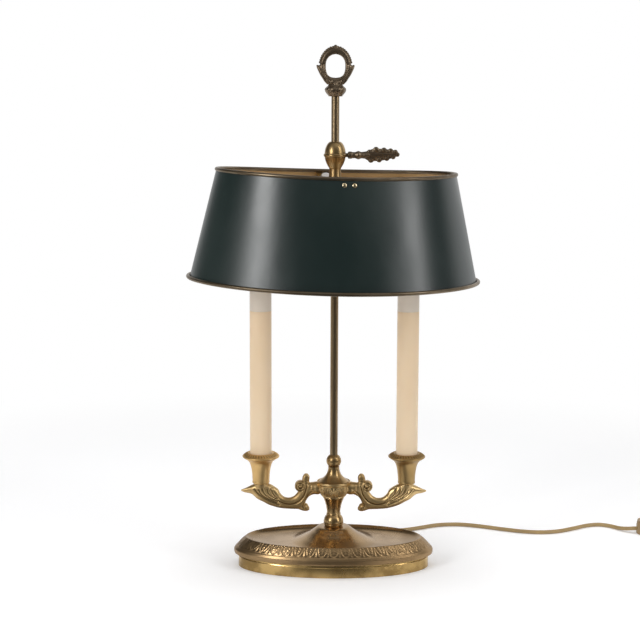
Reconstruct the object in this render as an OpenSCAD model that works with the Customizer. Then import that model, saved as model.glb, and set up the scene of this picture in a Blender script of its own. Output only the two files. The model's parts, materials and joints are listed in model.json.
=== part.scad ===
// Bouillotte lamp: two electric candles on scroll arms under an oval sheet-metal
// shade, which slides on a centre rod and is held by a leaf-shaped clamp key.
// Millimetres, Z up. The origin is the centre of the base's underside.

/* [Base] */
// Length of the oval base over its bead edge
base_l = 232; // [216:1:250]
// Width of the oval base over its bead edge
base_w = 115; // [108:1:124]
// Height of the plain foot ring
foot_h = 15; // [13:0.5:18]
// How far the foot ring stands inside the bead edge at the ends
foot_inset = 5; // [3:0.5:7]
// Height of the bead edge
bead_h = 5; // [4:0.5:6]
// Height of the lip of the dish above the bead edge
band_h = 14; // [12:0.5:17]
// How far the lip stands inside the bead edge at the ends
lip_inset = 15; // [13:0.5:18]
// Depth of the dish below its lip
dish_d = 5; // [4:0.5:6]
// Height of the bell above the dish floor
bell_h = 17.5; // [15:0.5:21]
// Radius of the seat on top of the bell
bell_seat_r = 11; // [10.5:0.5:12]
// Thickness of the cast base
base_t = 2.2; // [1.8:0.1:2.6]
// Thickness of the felt pad
felt_t = 2; // [1.5:0.5:2.5]

/* [Stem] */
// Radius of the ball at the foot of the stem
low_ball_r = 11.5; // [11:0.25:12.5]
// Height of the lower stem from the bell to the hub
stem_h = 35.5; // [33:0.5:40]
// Radius of the flared top of the lower stem
stem_top_r = 12.4; // [11.5:0.1:13]
// Height of the hub bowl
hub_h = 17.4; // [16.5:0.1:19]
// Radius of the hub rim
hub_r = 19.6; // [18.5:0.1:21]
// Height of the trumpet cover above the hub
trumpet_h = 18; // [16:0.5:22]
// Radius of the small ball under the rod
rod_ball_r = 8.6; // [8:0.1:9.5]
// Radius of the threaded centre tube
tube_r = 5; // [4.8:0.1:5.2]
// Bore radius of the threaded tubes
tube_bore_r = 3.4; // [3:0.1:3.8]

/* [Rod and finial] */
// Diameter of the rod
rod_d = 9; // [8.4:0.1:9.4]
// Bore of the rod
rod_bore = 6; // [5:0.5:7]
// Length of the rod from the small ball to the finial
rod_l = 411; // [390:1:430]
// Overall height of the finial
finial_h = 58; // [54:1:64]
// Thickness of the finial ring from front to back
finial_t = 7; // [5:0.5:9]
// Outer radius of the finial ring without its beads
finial_ring_r = 16.2; // [15.4:0.1:17]
// Radius of the ring's opening
finial_hole_r = 11.3; // [10:0.1:12]

/* [Arms and candles] */
// Distance from the rod to each candle
arm_reach = 84.5; // [80:0.5:92]
// Height of the arm boss above the underside of the hub
arm_rise = 9.5; // [8.8:0.1:9.8]
// Radius of the round boss that enters the hub
boss_r = 6.2; // [5.6:0.1:6.4]
// Half depth of the cast arm from front to back
arm_depth = 5.6; // [5:0.1:6.5]
// Height of a candle cup from its seat to its rim
cup_h = 36; // [34:0.5:39]
// Radius of the cup's rim
cup_r = 21.4; // [20:0.2:23]
// Radius of the cup's waist
cup_waist_r = 10.1; // [9.6:0.1:10.8]
// Diameter of the candle sleeve
candle_d = 25; // [24.6:0.1:25.4]
// Length of the candle sleeve
candle_l = 172; // [150:1:185]
// Wall of the candle sleeve
candle_t = 1.2; // [1:0.1:1.5]
// Height of the lampholder that shows above the sleeve
holder_show = 32; // [26:1:36]
// Length of the bulb's glass
bulb_l = 86; // [80:1:90]
// Diameter of the bulb's glass
bulb_d = 35; // [33:1:36]

/* [Shade] */
// Length of the shade at its top edge
shade_top_l = 272; // [262:1:284]
// Width of the shade at its top edge
shade_top_w = 180; // [172:1:190]
// How far the shade flares out on each side
shade_flare = 30; // [24:1:36]
// Height of the shade between its two edges
shade_h = 121; // [112:1:130]
// How far the edges rise towards the two ends
shade_smile = 3.6; // [0:0.1:5]
// Thickness of the sheet
sheet_t = 0.8; // [0.6:0.1:1.2]
// Radius of the rolled rims
rim_r = 2.2; // [1.8:0.1:2.6]
// Turn of the shade on its clamp, seen from above
shade_turn = 8; // [-10:0.5:10]
// Sideways lean of the shade on its clamp
shade_lean = 1.45; // [0:0.05:1.6]
// How far the strip's hole sits off the shade's centre
shade_shift = 1.9; // [0:0.1:2.5]
// Width of the cross strip
strip_w = 22; // [18:1:24]
// Thickness of the cross strip
strip_t = 2; // [1.5:0.25:2.5]
// Distance between the two screws at the front
screw_gap = 11; // [9:0.5:12]
// Distance between the two screws at the back
back_gap = 15; // [14.5:0.5:16]

/* [Clamp] */
// Height of the clamp's bead above the rod's lower end
clamp_z = 345.5; // [290:1:365]
// Radius of the clamp's bead
clamp_r = 13.1; // [12.5:0.1:14]
// Height of the clamp's dome above its bead
dome_h = 15; // [13:0.5:17]
// Height of the egg-shaped part below the bead
egg_h = 14.2; // [13:0.2:16]
// Height of the clamp's neck down to its shoulder
neck_h = 20.6; // [18:0.2:23]
// Radius of the spigot that the shade turns on
spigot_r = 6.8; // [6.4:0.1:7.2]
// Radius of the clamp screw
key_screw_r = 2.4; // [2.1:0.1:2.6]
// Reach of the key from the rod's axis
key_reach = 71.5; // [68:0.5:76]
// Thickness of the key's leaf
key_t = 2.6; // [2:0.2:3.4]

/* [Cord] */
// Diameter of the cord
cord_d = 4.8; // [4.6:0.1:5]
// Length of the switch housing
switch_l = 62; // [58:1:66]
// Width of the switch housing
switch_w = 24; // [22:1:28]
// Height of the switch housing
switch_h = 17; // [16:0.5:18]

/* [Clearances] */
// Running clearance of a part that slides or turns on another
run_c = 0.1; // [0.06:0.01:0.1]
// Gap between parts that pass each other
pass_c = 0.3; // [0.3:0.05:0.5]
// Clearance of a part that sits in a socket
seat_c = 0.2; // [0.1:0.05:0.3]

/* [Hidden] */
$fn = 64;
EPS = 0.01;

// Heights of the stand, each from the one below it
bead_z = foot_h;
bead_top = bead_z + bead_h;
lip_z = bead_top + band_h;
floor_z = lip_z - dish_d;
bell_z = floor_z + bell_h;
hub_z = bell_z + stem_h;
hub_top = hub_z + hub_h;
trumpet_top = hub_top + trumpet_h;
low_ball_seat_r = bell_seat_r - 0.8;
low_ball_z = bell_z + sqrt(pow(low_ball_r, 2) - pow(low_ball_seat_r, 2));
rod_r = rod_d / 2;
rod_ball_z = trumpet_top + sqrt(pow(rod_ball_r, 2) - pow(rod_r + 1.1, 2));
rod_z = rod_ball_z + sqrt(pow(rod_ball_r, 2) - pow(rod_r, 2));
rod_plug = 6.5;
rod_top = rod_z + rod_l;
finial_top = rod_top + finial_h;

// Half lengths of the base's edges; the oval is this profile squeezed across
bead_a = base_l / 2;
foot_a = bead_a - foot_inset;
lip_a = bead_a - lip_inset;
foot_wall = 3;
foot_ledge = 3.6;

// Stack under the bell: weight, washer and nut on the centre tube
weight_h = 10;
weight_a = 72;
washer_h = 1.5;
nut_h = 5;
weight_z = floor_z - base_t - weight_h;
tube_z = weight_z - washer_h - nut_h - 1.5;
tube_top = rod_z - rod_plug - 0.5;

// Arms, cups and what stands in them
arm_z = hub_z + arm_rise;
boss_in = 8.4;
boss_out = 27;
cup_z = arm_z + 6;
neck_drop = 3.4;
candle_r = candle_d / 2;
candle_z = cup_z + cup_h - 6;
candle_top = candle_z + candle_l;
holder_in = 38;
holder_top = candle_top + holder_show;
cap_r = 7;
cap_l = 27;
cap_z = holder_top - 9 - cap_l;
holder_tube_z = cup_z - 9;

// Shade: half axes of the rim circles, and the clamp it hangs on
top_a = shade_top_l / 2;
top_b = shade_top_w / 2;
bottom_a = top_a + shade_flare;
bottom_b = top_b + shade_flare;
clamp_bead_z = rod_z + clamp_z;
shoulder_z = clamp_bead_z - egg_h - neck_h;
shoulder_r = 9.6;
tilt_gap = pass_c + shoulder_r * sin(shade_lean);
strip_z = shoulder_z - tilt_gap - strip_t;
ring_nut_h = 6;
ring_nut_r = 10.6;
ring_nut_z = strip_z - tilt_gap - ring_nut_h;
tab_h = 12.6;
front_drop = 4;
back_drop = 3;
label_w = 9.6;
label_h = 7.4;
label_z = tab_h - label_h / 2 - 0.1;
shade_top_z = strip_z + tab_h + 0.4 + rim_r;
RING_N = 80;
RIM_SIDES = 8;
flat_k = cos(180 / RIM_SIDES);
// The wall ends under the top rim and runs down inside the bottom rim
wall_in = rim_r * flat_k + sheet_t / 2 + run_c / 2;
wall_slope = (shade_flare - wall_in / cos(atan(shade_flare / shade_h))) / shade_h;
wall_flare = atan(wall_slope);

// Cord: its routes are laid on the table by hand
cord_r = cord_d / 2;
bush_z = 8;
relief_l = 21;
bush_y = foot_a * base_w / base_l - 0.6;
lead_route = [
    [0, 52, 8], [0, 64, 8], [0, 76, 8], [1, 85, 7.2], [4, 94, 4.8], [10, 105, 2.8], [20, 115, 2.4], [36, 124, 2.4],
    [60, 130, 2.4], [89, 135, 2.4], [112, 146, 2.4], [131, 157, 2.4], [150, 161, 2.4],
    [168, 160, 2.4], [190, 152, 2.4], [215, 140, 2.4], [240, 130, 2.4], [262, 127, 2.4],
    [284, 132, 2.4], [305, 145, 2.4], [324, 158, 2.4], [340, 162, 2.4], [353, 156, 2.4],
    [363, 145, 2.8], [371, 136.6, 4.6], [378, 133.2, 5.9], [382, 133, 6]
];
tail_route = [
    [444, 133, 6], [447.6, 132.9, 5.9], [453, 132, 4.4], [460, 130.4, 2.6], [470, 129.4, 2.4],
    [482, 129, 2.4], [495, 128.8, 2.4], [508, 128.8, 2.4]
];
end_route = [[508, 191.2, 7.2], [497, 191.4, 7], [486, 191.6, 6.8]];
switch_x = lead_route[len(lead_route) - 1][0];
switch_y = lead_route[len(lead_route) - 1][1];
coil_c = [516, 160];
coil_mid_r = 26.5;
coil_half = 1.5 * cord_d;
plug_x = end_route[len(end_route) - 1][0];
plug_y = end_route[len(end_route) - 1][1];
plug_z = end_route[len(end_route) - 1][2];

BRASS = [0.62, 0.48, 0.26];
BRONZE = [0.36, 0.28, 0.18];
IVORY = [0.9, 0.8, 0.64];
GREEN = [0.13, 0.17, 0.16];
WHITE = [0.93, 0.92, 0.88];
GOLD_CORD = [0.6, 0.5, 0.32];

// ---- Helpers ----

function unit(v) = v / norm(v);

// A point on the cubic curve through four control points
function bez(p, t) =
    pow(1 - t, 3) * p[0] + 3 * t * pow(1 - t, 2) * p[1]
    + 3 * t * t * (1 - t) * p[2] + pow(t, 3) * p[3];

// n + 1 points along such a curve
function curve(a, b, c, d, n = 8) = [for (i = [0:n]) bez([a, b, c, d], i / n)];

// Smooth curve through given points, with n steps between two of them
function through(p, n) = [
    for (i = [0:len(p) - 2], j = [0:n - 1])
        let (a = p[max(i - 1, 0)], b = p[i], c = p[i + 1], d = p[min(i + 2, len(p) - 1)], t = j / n)
            0.5 * (2 * b + (c - a) * t + (2 * a - 5 * b + 4 * c - d) * t * t
                + (3 * b - a - 3 * c + d) * t * t * t),
    p[len(p) - 1]
];

// Skin over rings of points: each ring has the same number of points, and turns
// right-handed about the direction in which the rings follow each other
module skin(rings, closed = false) {
    m = len(rings);
    n = len(rings[0]);
    last = closed ? m - 1 : m - 2;
    sides = [
        for (i = [0:last], j = [0:n - 1])
            let (k = (i + 1) % m, l = (j + 1) % n)
                each [[i * n + j, k * n + j, k * n + l], [i * n + j, k * n + l, i * n + l]]
    ];
    caps = closed ? [] : [
        for (j = [1:n - 2]) each [[0, j, j + 1], [(m - 1) * n, (m - 1) * n + j + 1, (m - 1) * n + j]]
    ];
    polyhedron([for (r = rings) each r], concat(sides, caps));
}

// Direction of a path at point i
function heading(p, i) = unit(p[min(i + 1, len(p) - 1)] - p[max(i - 1, 0)]);

// Oval rings along a path: half_w lies along side, half_h across it
function tube_rings(p, half_w, half_h, side, sides, turn = 0) = [
    for (i = [0:len(p) - 1])
        let (t = heading(p, i), v = unit(cross(t, side)), u = cross(v, t))
            [for (j = [0:sides - 1]) let (q = 360 * j / sides + turn)
                p[i] + half_w[i] * cos(q) * u + half_h[i] * sin(q) * v]
];

// Round cord along a route on the table
module cord_tube(route, steps) {
    path = through(route, steps);
    same = [for (p = path) cord_r];
    skin(tube_rings(path, same, same, [0, 0, 1], 8, 22.5));
}

module revolve(points) {
    rotate_extrude() polygon(points);
}

// Oval ring with the given section: a revolve squeezed across, in so many wedges
module oval_revolve(points, wedges) {
    scale([1, base_w / base_l, 1]) for (i = [1:wedges])
        rotate([0, 0, 360 * i / wedges]) rotate_extrude(angle = 360 / wedges) polygon(points);
}

// Oval plate between two true planes
module oval_plate(a, h) {
    b = a * base_w / base_l;
    intersection() {
        translate([0, 0, -1]) linear_extrude(h + 2) scale([1, base_w / base_l]) circle(r = a);
        translate([-a - 1, -b - 1, 0]) cube([2 * a + 2, 2 * b + 2, h]);
    }
}

module both_sides(side) {
    mirror([side < 0 ? 1 : 0, 0, 0]) children();
}

// ---- Base ----

// Outer face of the base from the bead edge to the middle of the dish
function band_profile() = concat(
    [[bead_a - 1, bead_z], [bead_a, bead_z + 1]],
    curve([bead_a, bead_top - 1.2], [bead_a, bead_top + 0.6], [bead_a - 1.4, bead_top + 0.8],
        [bead_a - 2.6, bead_top + 2], 4),
    curve([bead_a - 4.6, bead_top + 4.4], [bead_a - 5.6, bead_top + 5.4],
        [bead_a - 6, bead_top + 5.2], [bead_a - 6.6, bead_top + 6], 4),
    curve([bead_a - 7, bead_top + 6.8], [lip_a + 5.4, bead_top + 9], [lip_a + 3, lip_z - 2],
        [lip_a + 1.4, lip_z - 0.6], 6),
    curve([lip_a + 0.7, lip_z - 0.1], [lip_a, lip_z + 0.1], [lip_a - 0.8, lip_z],
        [lip_a - 1.4, lip_z - 0.7], 4),
    curve([lip_a - 3, lip_z - 1.7], [lip_a - 10, floor_z + 0.5], [lip_a - 18, floor_z],
        [lip_a - 32, floor_z], 8)
);

function bell_profile(drop = 0) = concat(
    [[0, bell_z - drop], [bell_seat_r, bell_z - drop]],
    curve([bell_seat_r + 2 - drop / 2, bell_z - 0.2 - drop], [bell_seat_r + 6 - drop / 2, bell_z - 0.8 - drop],
        [bell_seat_r + 8 - drop / 2, bell_z - bell_h * 0.2 - drop],
        [bell_seat_r + 12 - drop / 2, bell_z - bell_h * 0.34 - drop], 8),
    curve([bell_seat_r + 14.5 - drop / 2, bell_z - bell_h * 0.47 - drop],
        [bell_seat_r + 22 - drop / 2, bell_z - bell_h * 0.86 - drop],
        [bell_seat_r + 28 - drop / 2, floor_z + 0.3 - drop],
        [bell_seat_r + 36 - drop / 2, floor_z - 0.2 - drop], 8)
);

module base_shell() {
    color(BRASS) difference() {
        union() {
            oval_revolve(concat(
                [[lip_a - 6, floor_z - base_t], [lip_a + 1, lip_z - 2.4 * base_t],
                    [foot_a - foot_wall, bead_z + 2], [foot_a - foot_wall, bead_z]],
                band_profile(), [[lip_a - 6, floor_z]]
            ), 8);
            translate([0, 0, floor_z - base_t]) oval_plate(lip_a - 5, base_t);
            revolve(concat(bell_profile(), [[bell_seat_r + 36, floor_z - 1], [0, floor_z - 1]]));
        }
        revolve(concat(bell_profile(base_t), [[0, floor_z - base_t - 1]]));
        translate([0, 0, floor_z]) cylinder(r = tube_r + run_c, h = bell_h + 1);
    }
}

module foot_ring() {
    inner = foot_a - foot_wall;
    color(BRASS) difference() {
        oval_revolve([
            [inner - 0.4, 0], [foot_a, 0], [foot_a - 0.4, 0.75 * foot_h], [foot_a + 0.1, 0.79 * foot_h],
            [foot_a - 0.6, 0.84 * foot_h], [foot_a - 1.1, foot_h], [inner, foot_h],
            [inner - 0.3, felt_t + 1.6], [inner - foot_ledge, felt_t + 1.6],
            [inner - foot_ledge, felt_t], [inner - 0.4, felt_t]
        ], 1);
        translate([0, bush_y - 6, bush_z]) rotate([-90, 0, 0]) cylinder(r = cord_r + 1.4 + seat_c, h = 12);
    }
}

module base_weight() {
    color([0.25, 0.25, 0.26]) translate([0, 0, weight_z]) difference() {
        oval_plate(weight_a, weight_h);
        translate([0, 0, -1]) cylinder(r = tube_r + run_c, h = weight_h + 2);
    }
}

module base_washer() {
    color(BRASS) translate([0, 0, weight_z - washer_h]) difference() {
        cylinder(r = 11, h = washer_h);
        translate([0, 0, -1]) cylinder(r = tube_r + run_c, h = washer_h + 2);
    }
}

module base_nut() {
    color(BRASS) translate([0, 0, weight_z - washer_h - nut_h]) difference() {
        cylinder(r = 8.6, h = nut_h, $fn = 6);
        translate([0, 0, -1]) cylinder(r = tube_r + run_c, h = nut_h + 2);
    }
}

module felt_pad() {
    color([0.16, 0.25, 0.18]) oval_plate(foot_a - foot_wall - 0.4 - seat_c, felt_t);
}

module centre_tube() {
    color(BRASS) translate([0, 0, tube_z]) difference() {
        cylinder(r = tube_r, h = tube_top - tube_z);
        translate([0, 0, -1]) cylinder(r = tube_bore_r, h = tube_top - tube_z + 2);
        // Window for the wires to the two arms
        translate([0, 0, arm_z - tube_z]) rotate([0, 90, 0]) cylinder(r = 2.2, h = 3 * tube_r, center = true);
    }
}

// Connector for the wires, screwed under the weight beside the nut
module terminal_block() {
    w = 11;
    h = 7.5;
    color(IVORY) translate([22, -w / 2, weight_z - h]) difference() {
        cube([20, w, h]);
        for (x = [6, 14]) translate([x, -1, h / 2]) rotate([-90, 0, 0]) cylinder(r = 1.9, h = w + 2);
        for (x = [6, 14]) translate([x, w / 2, -1]) cylinder(r = 1.6, h = 3);
    }
}

// The cord's end inside the base, from the bushing to the connector
module inner_lead() {
    z = weight_z - 3.75;
    color(GOLD_CORD) {
        path = through([lead_route[0] - [0, EPS, 0], [0, 48, bush_z], [3, 41, bush_z], [10, 30, bush_z],
            [20, 18, z], [28, 12, z], [28, 5.5 + EPS, z]], 3);
        thin = [for (p = path) 1.8];
        skin(tube_rings(path, thin, thin, [0, 0, 1], 8));
    }
}

// Bushing in the foot ring with its short tapered sleeve
module cable_bush() {
    back = bush_y - 4;
    color([0.2, 0.16, 0.12]) translate([0, 0, bush_z]) rotate([-90, 0, 0]) difference() {
        rotate_extrude() polygon([
            [cord_r + seat_c, back + 0.6], [cord_r + 1.4, back + 0.6], [cord_r + 1.4, bush_y + 0.9],
            [cord_r + 3, bush_y + 0.9], [cord_r + 3, bush_y + 2.6], [cord_r + 2, bush_y + 3.4],
            [cord_r + 0.9, bush_y + relief_l + 1.6], [cord_r + seat_c, bush_y + relief_l + 2]
        ]);
    }
}

// ---- Stem ----

module lower_stem() {
    neck_r = 7.8;
    neck_z = low_ball_z + sqrt(pow(low_ball_r, 2) - pow(neck_r, 2));
    color(BRASS) difference() {
        union() {
            intersection() {
                translate([0, 0, low_ball_z]) sphere(r = low_ball_r);
                translate([0, 0, bell_z]) cylinder(r = 2 * low_ball_r, h = neck_z - bell_z);
            }
            revolve(concat(
                [[0, neck_z - 1], [neck_r - 0.4, neck_z - 1]],
                [[neck_r, neck_z], [neck_r, neck_z + 1]],
                curve([neck_r, neck_z + 2], [neck_r + 0.2, neck_z + 8], [stem_top_r - 2, hub_z - 6],
                    [stem_top_r, hub_z - 1], 10),
                [[stem_top_r, hub_z], [0, hub_z]]
            ));
        }
        translate([0, 0, bell_z - 1]) cylinder(r = tube_r + run_c, h = stem_h + 2);
    }
}

module hub_bowl() {
    flange = 1.8;
    color(BRASS) difference() {
        revolve(concat(
            [[0, hub_z], [stem_top_r - 0.2, hub_z], [stem_top_r, hub_z + 0.8]],
            curve([stem_top_r, hub_z + 1.4], [stem_top_r + 1.6, hub_z + 5], [hub_r - 4, hub_z + 9],
                [hub_r - 3.4, hub_top - 3], 8),
            [[hub_r - 1.6, hub_top - flange], [hub_r - 0.4, hub_top - flange + 0.3], [hub_r, hub_top - 0.8],
                [hub_r - 0.4, hub_top], [hub_r - 1.8, hub_top], [hub_r - 2, hub_top - 0.7],
                [0, hub_top - 0.7]]
        ));
        translate([0, 0, hub_z - 1]) cylinder(r = tube_r + run_c, h = hub_h + 2);
        for (side = [-1, 1]) both_sides(side) {
            translate([boss_in, 0, arm_z]) rotate([0, 90, 0]) cylinder(r = boss_r + run_c, h = 14);
            translate([0, 0, arm_z]) rotate([0, 90, 0]) cylinder(r = 2.2, h = 14);
        }
    }
}

module trumpet_cover() {
    seat = hub_top - 0.7;
    color(BRASS) difference() {
        revolve(concat(
            [[0, seat], [hub_r - 2.2, seat], [hub_r - 2.2, hub_top + 0.6]],
            curve([hub_r - 3.8, hub_top + 1.7], [hub_r - 9, hub_top + 5], [hub_r - 10.4, hub_top + 8.5],
                [7, hub_top + trumpet_h * 0.73], 10),
            [[6.6, hub_top + trumpet_h * 0.8], [6.9, hub_top + trumpet_h * 0.84],
                [6.3, hub_top + trumpet_h * 0.88], [6, trumpet_top], [0, trumpet_top]]
        ));
        translate([0, 0, seat - 1]) cylinder(r = tube_r + run_c, h = trumpet_h + 3);
    }
}

module rod_ball() {
    color(BRASS) difference() {
        intersection() {
            translate([0, 0, rod_ball_z]) sphere(r = rod_ball_r);
            translate([0, 0, trumpet_top]) cylinder(r = 2 * rod_ball_r, h = rod_z - trumpet_top);
        }
        translate([0, 0, trumpet_top - 1]) cylinder(r = tube_r + run_c, h = rod_z - rod_plug - trumpet_top + 1);
        translate([0, 0, rod_z - rod_plug - EPS]) cylinder(r = rod_r + run_c, h = rod_plug + 1);
    }
}

module rod() {
    socket = 8;
    color(BRASS) translate([0, 0, rod_z - rod_plug]) difference() {
        cylinder(r = rod_r, h = rod_plug + rod_l + socket);
        translate([0, 0, -1]) cylinder(d = rod_bore, h = rod_plug + rod_l + socket + 2);
    }
}

// Outer edge of the finial's ring, from beside a leaf tip up to the top
function ring_edge(n) = curve([finial_ring_r, 36.5], [finial_ring_r + 0.2, 45],
    [finial_ring_r - 6.2, finial_h - 3.4], [0, finial_h - 3.1], n);

// Right half of the finial's outline in its own plane, and of its opening
function finial_edge(inset) = [
    for (p = concat(
        [[0, 11]],
        through([[8, 11], [8.9, 14.5], [10.8, 17.2], [14.6, 21], [17.1, 25.4], [19.2, 29.8], [21.2, 34.2]], 3),
        [[17.8, 34]],
        ring_edge(12)
    )) [max(p[0] - inset, 0), p[1] - 0.6 * inset]
];

function opening_edge(inset) = [
    for (p = through([[0, 21], [7, 21], [10.2, 23], [11.2, 27], [finial_hole_r - 0.4, 31],
        [finial_hole_r, 36], [finial_hole_r - 0.8, 40.4], [finial_hole_r - 2.8, 44.4],
        [finial_hole_r - 6.4, 46.9], [0, 47.7]], 3)) [p[0] + (p[0] > 1 ? inset : 0), p[1] + (p[1] > 34 ? inset : -inset)]
];

// Flat plate in the shape of the finial, laid on the XZ plane
module finial_plate(t, inset) {
    edge = finial_edge(inset);
    hole = opening_edge(inset);
    rotate([90, 0, 0]) linear_extrude(t, center = true) difference() {
        polygon(concat(edge, [for (i = [len(edge) - 2:-1:1]) [-edge[i][0], edge[i][1]]]));
        polygon(concat(hole, [for (i = [len(hole) - 2:-1:1]) [-hole[i][0], hole[i][1]]]));
    }
}

module finial() {
    beads = 8;
    top_bead_r = 2.6;
    edge = ring_edge(2 * beads + 2);
    color(BRONZE) translate([0, 0, rod_top]) difference() {
        union() {
            finial_plate(finial_t, 1);
            finial_plate(finial_t - 2, 0);
            // Beads along the upper edge, with a larger one on top
            for (s = [-1, 1], i = [0:beads - 1])
                translate([s * edge[2 * i + 1][0], 0, edge[2 * i + 1][1]]) sphere(r = 1.75);
            translate([0, 0, finial_h - top_bead_r]) sphere(r = top_bead_r);
            revolve(concat(
                [[0, 0], [7.8, 0]],
                curve([8.2, 1.2], [9.6, 3.4], [10.8, 5.4], [11.5, 7.6], 5),
                curve([11.4, 9.2], [10.6, 10.6], [9, 11.2], [8.4, 12], 4),
                [[6, 15.5], [0, 17]]
            ));
        }
        translate([0, 0, -1]) cylinder(r = rod_r + run_c, h = 9.2);
    }
}

// ---- Arms ----

// Side view of the cast arm in stations from the boss to the beak tip. Each one joins a point on
// the upper edge to one on the lower edge: [upper out, upper height, lower out, lower height, half depth]
arm_rows = [
    [24.5, 5.7, 21, -5.4, 5.5], [30, 6.4, 24.4, -6.6, 5.9], [36, 3.6, 28.9, -9.8, 5.4],
    [40, -1.2, 32, -14.4, 5], [42, -5, 34, -19.4, 4.8], [45.1, -8.9, 37, -25.2, 4.7],
    [48.2, -10.8, 42.6, -25.2, 4.6], [52, -11.8, 49, -25, 4.6], [57.6, -10.7, 56, -24.6, 4.9],
    [62, -6.6, 62.6, -23.8, 5.4], [64.6, -1.6, 69.4, -22.2, 6], [70, 2.2, 76, -19.8, 6.8],
    [arm_reach - 8.6, 5.2, arm_reach - 2.4, -16.4, 7.8], [arm_reach, 6.4, arm_reach + 4.4, -12.8, 7.8],
    [arm_reach + 7.6, 4.6, arm_reach + 9.4, -8.2, 6], [arm_reach + 13.4, 1.9, arm_reach + 13.4, -6.4, 4],
    [arm_reach + 18.6, -0.6, arm_reach + 18.4, -5.6, 2.3], [arm_reach + 23.4, -2.4, arm_reach + 23.2, -3.8, 0.7]
];

// Finger on top of the boss, and hook at the elbow, in the same kind of stations: the first
// point is on the left edge, seen along the way that the stations run
finger_rows = [
    [27.2, 3, 35.4, 2, 4.2], [28, 8.4, 34.6, 7.6, 3.8], [28.8, 11.4, 33.6, 11, 3.4],
    [28.2, 14, 33.4, 13.8, 3.2], [29.2, 16, 32.4, 16.1, 2]
];
hook_rows = [
    [40, -25.6, 35.4, -15.6, 4.2], [35.2, -27.2, 32.6, -19.6, 4.5], [31, -27.4, 30.4, -20.9, 4.1],
    [28, -25.8, 28.4, -22.6, 2.4]
];

// Acanthus folds on the flank under the cup: [out, height, half width, distance from the middle]
fold_rows = [
    [[arm_reach + 2, -1.6, 0.8, 6.6], [78, -7.4, 1.7, 7], [69, -13.6, 1.9, 5.6], [60, -17.6, 0.6, 4.4]],
    [[arm_reach - 3, 1, 0.8, 6.6], [74, -4.4, 1.7, 6.6], [67, -9.8, 1.8, 5.3], [60.4, -13.2, 0.5, 4.2]],
    [[78, 3, 0.7, 5.6], [71.6, -1.6, 1.6, 5.6], [66.4, -6, 1.6, 4.6], [62, -9.4, 0.5, 3.4]],
    [[73.4, 3, 0.6, 4], [69, 0.2, 1.3, 4.3], [66, -2.4, 1.3, 3.7], [63.8, -5, 0.4, 2.8]]
];

// The depths above are for an arm of this half depth
depth_k = arm_depth / 5.6;

// Rounded sections through the stations
function station_rings(rows, steps, sides) = [
    for (r = through(rows, steps))
        let (c = [r[0] + r[2], r[1] + r[3]] / 2, h = [r[0] - r[2], r[1] - r[3]] / 2)
            [for (j = [0:sides - 1]) let (q = 360 * (j + 0.5) / sides, k = full(cos(q)))
                [c[0] + h[0] * k, -depth_k * r[4] * full(sin(q)), c[1] + h[1] * k]]
];

// Sine or cosine of a rounder, fuller section than an ellipse
function full(v) = sign(v) * pow(abs(v), 0.8);

module fold(rows, side) {
    pts = through(rows, 2);
    path = [for (p = pts) [p[0], side * depth_k * p[3], p[1]]];
    skin(tube_rings(path, [for (p = pts) p[2]], [for (p = pts) 0.8 * p[2]], [0, 1, 0], 6));
}

// Scroll with its eye, as a tapering tube wound inwards
module volute(c, from, to, r0, r1, n = 20) {
    path = [
        for (i = [0:n])
            let (q = from + (to - from) * i / n, r = r0 + (r1 - r0) * i / n)
                [c[0] + r * cos(q), 0, c[1] + r * sin(q)]
    ];
    skin(tube_rings(path, [for (i = [0:n]) 4.4], [for (i = [0:n]) 1.9 - 1.1 * i / n], [0, 1, 0], 8, 22.5));
    translate([c[0], 0, c[1]]) rotate([90, 0, 0]) cylinder(r = 1.7, h = 10, center = true);
}

module arm(side) {
    color(BRASS) both_sides(side) translate([0, 0, arm_z]) difference() {
        union() {
            skin(station_rings(arm_rows, 2, 14));
            skin(station_rings(finger_rows, 2, 10));
            skin(station_rings(hook_rows, 2, 10));
            volute([38.8, 2.4], 190, -130, 4.4, 2.7);
            for (rows = fold_rows, face = [-1, 1]) fold(rows, face);
            // Round boss that enters the hub, and the neck under the candle cup
            translate([boss_in + run_c, 0, 0]) rotate([0, 90, 0])
                cylinder(r = boss_r, h = boss_out - boss_in - run_c);
            translate([arm_reach, 0, -4]) cylinder(r = 8.2, h = cup_z - arm_z + 4);
        }
        // Wire way through the boss, and the bore for the cup's tube
        translate([boss_in - 1, 0, 0]) rotate([0, 90, 0]) cylinder(r = 2.2, h = 12);
        translate([arm_reach, 0, holder_tube_z - arm_z]) cylinder(r = tube_r + run_c, h = 30);
    }
}

module arm_left() { arm(-1); }
module arm_right() { arm(1); }

// ---- Candles ----

module candle_cup(side) {
    z = cup_z;
    rim = z + cup_h;
    socket_r = candle_r + seat_c;
    color(BRASS) translate([side * arm_reach, 0, 0]) difference() {
        revolve(concat(
            [[0, z], [cup_waist_r - 0.7, z], [cup_waist_r, z + 0.6], [cup_waist_r, z + 4]],
            curve([cup_waist_r, z + 6], [cup_waist_r + 0.4, z + 14], [cup_waist_r + 1.2, z + 21],
                [cup_r - 7.6, rim - 11], 8),
            curve([cup_r - 6.4, rim - 9.6], [cup_r - 4, rim - 7], [cup_r - 1.6, rim - 6],
                [cup_r - 0.3, rim - 5], 4),
            curve([cup_r, rim - 4.2], [cup_r - 0.8, rim - 2], [cup_r - 4, rim],
                [candle_r + 1.7, rim], 6),
            [[socket_r, rim - 0.5], [0, rim - 0.5]]
        ));
        translate([0, 0, candle_z]) cylinder(r = socket_r, h = cup_h);
        translate([0, 0, z - 1]) cylinder(r = tube_r + run_c, h = cup_h);
    }
}

module candle_cup_left() { candle_cup(-1); }
module candle_cup_right() { candle_cup(1); }

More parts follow.
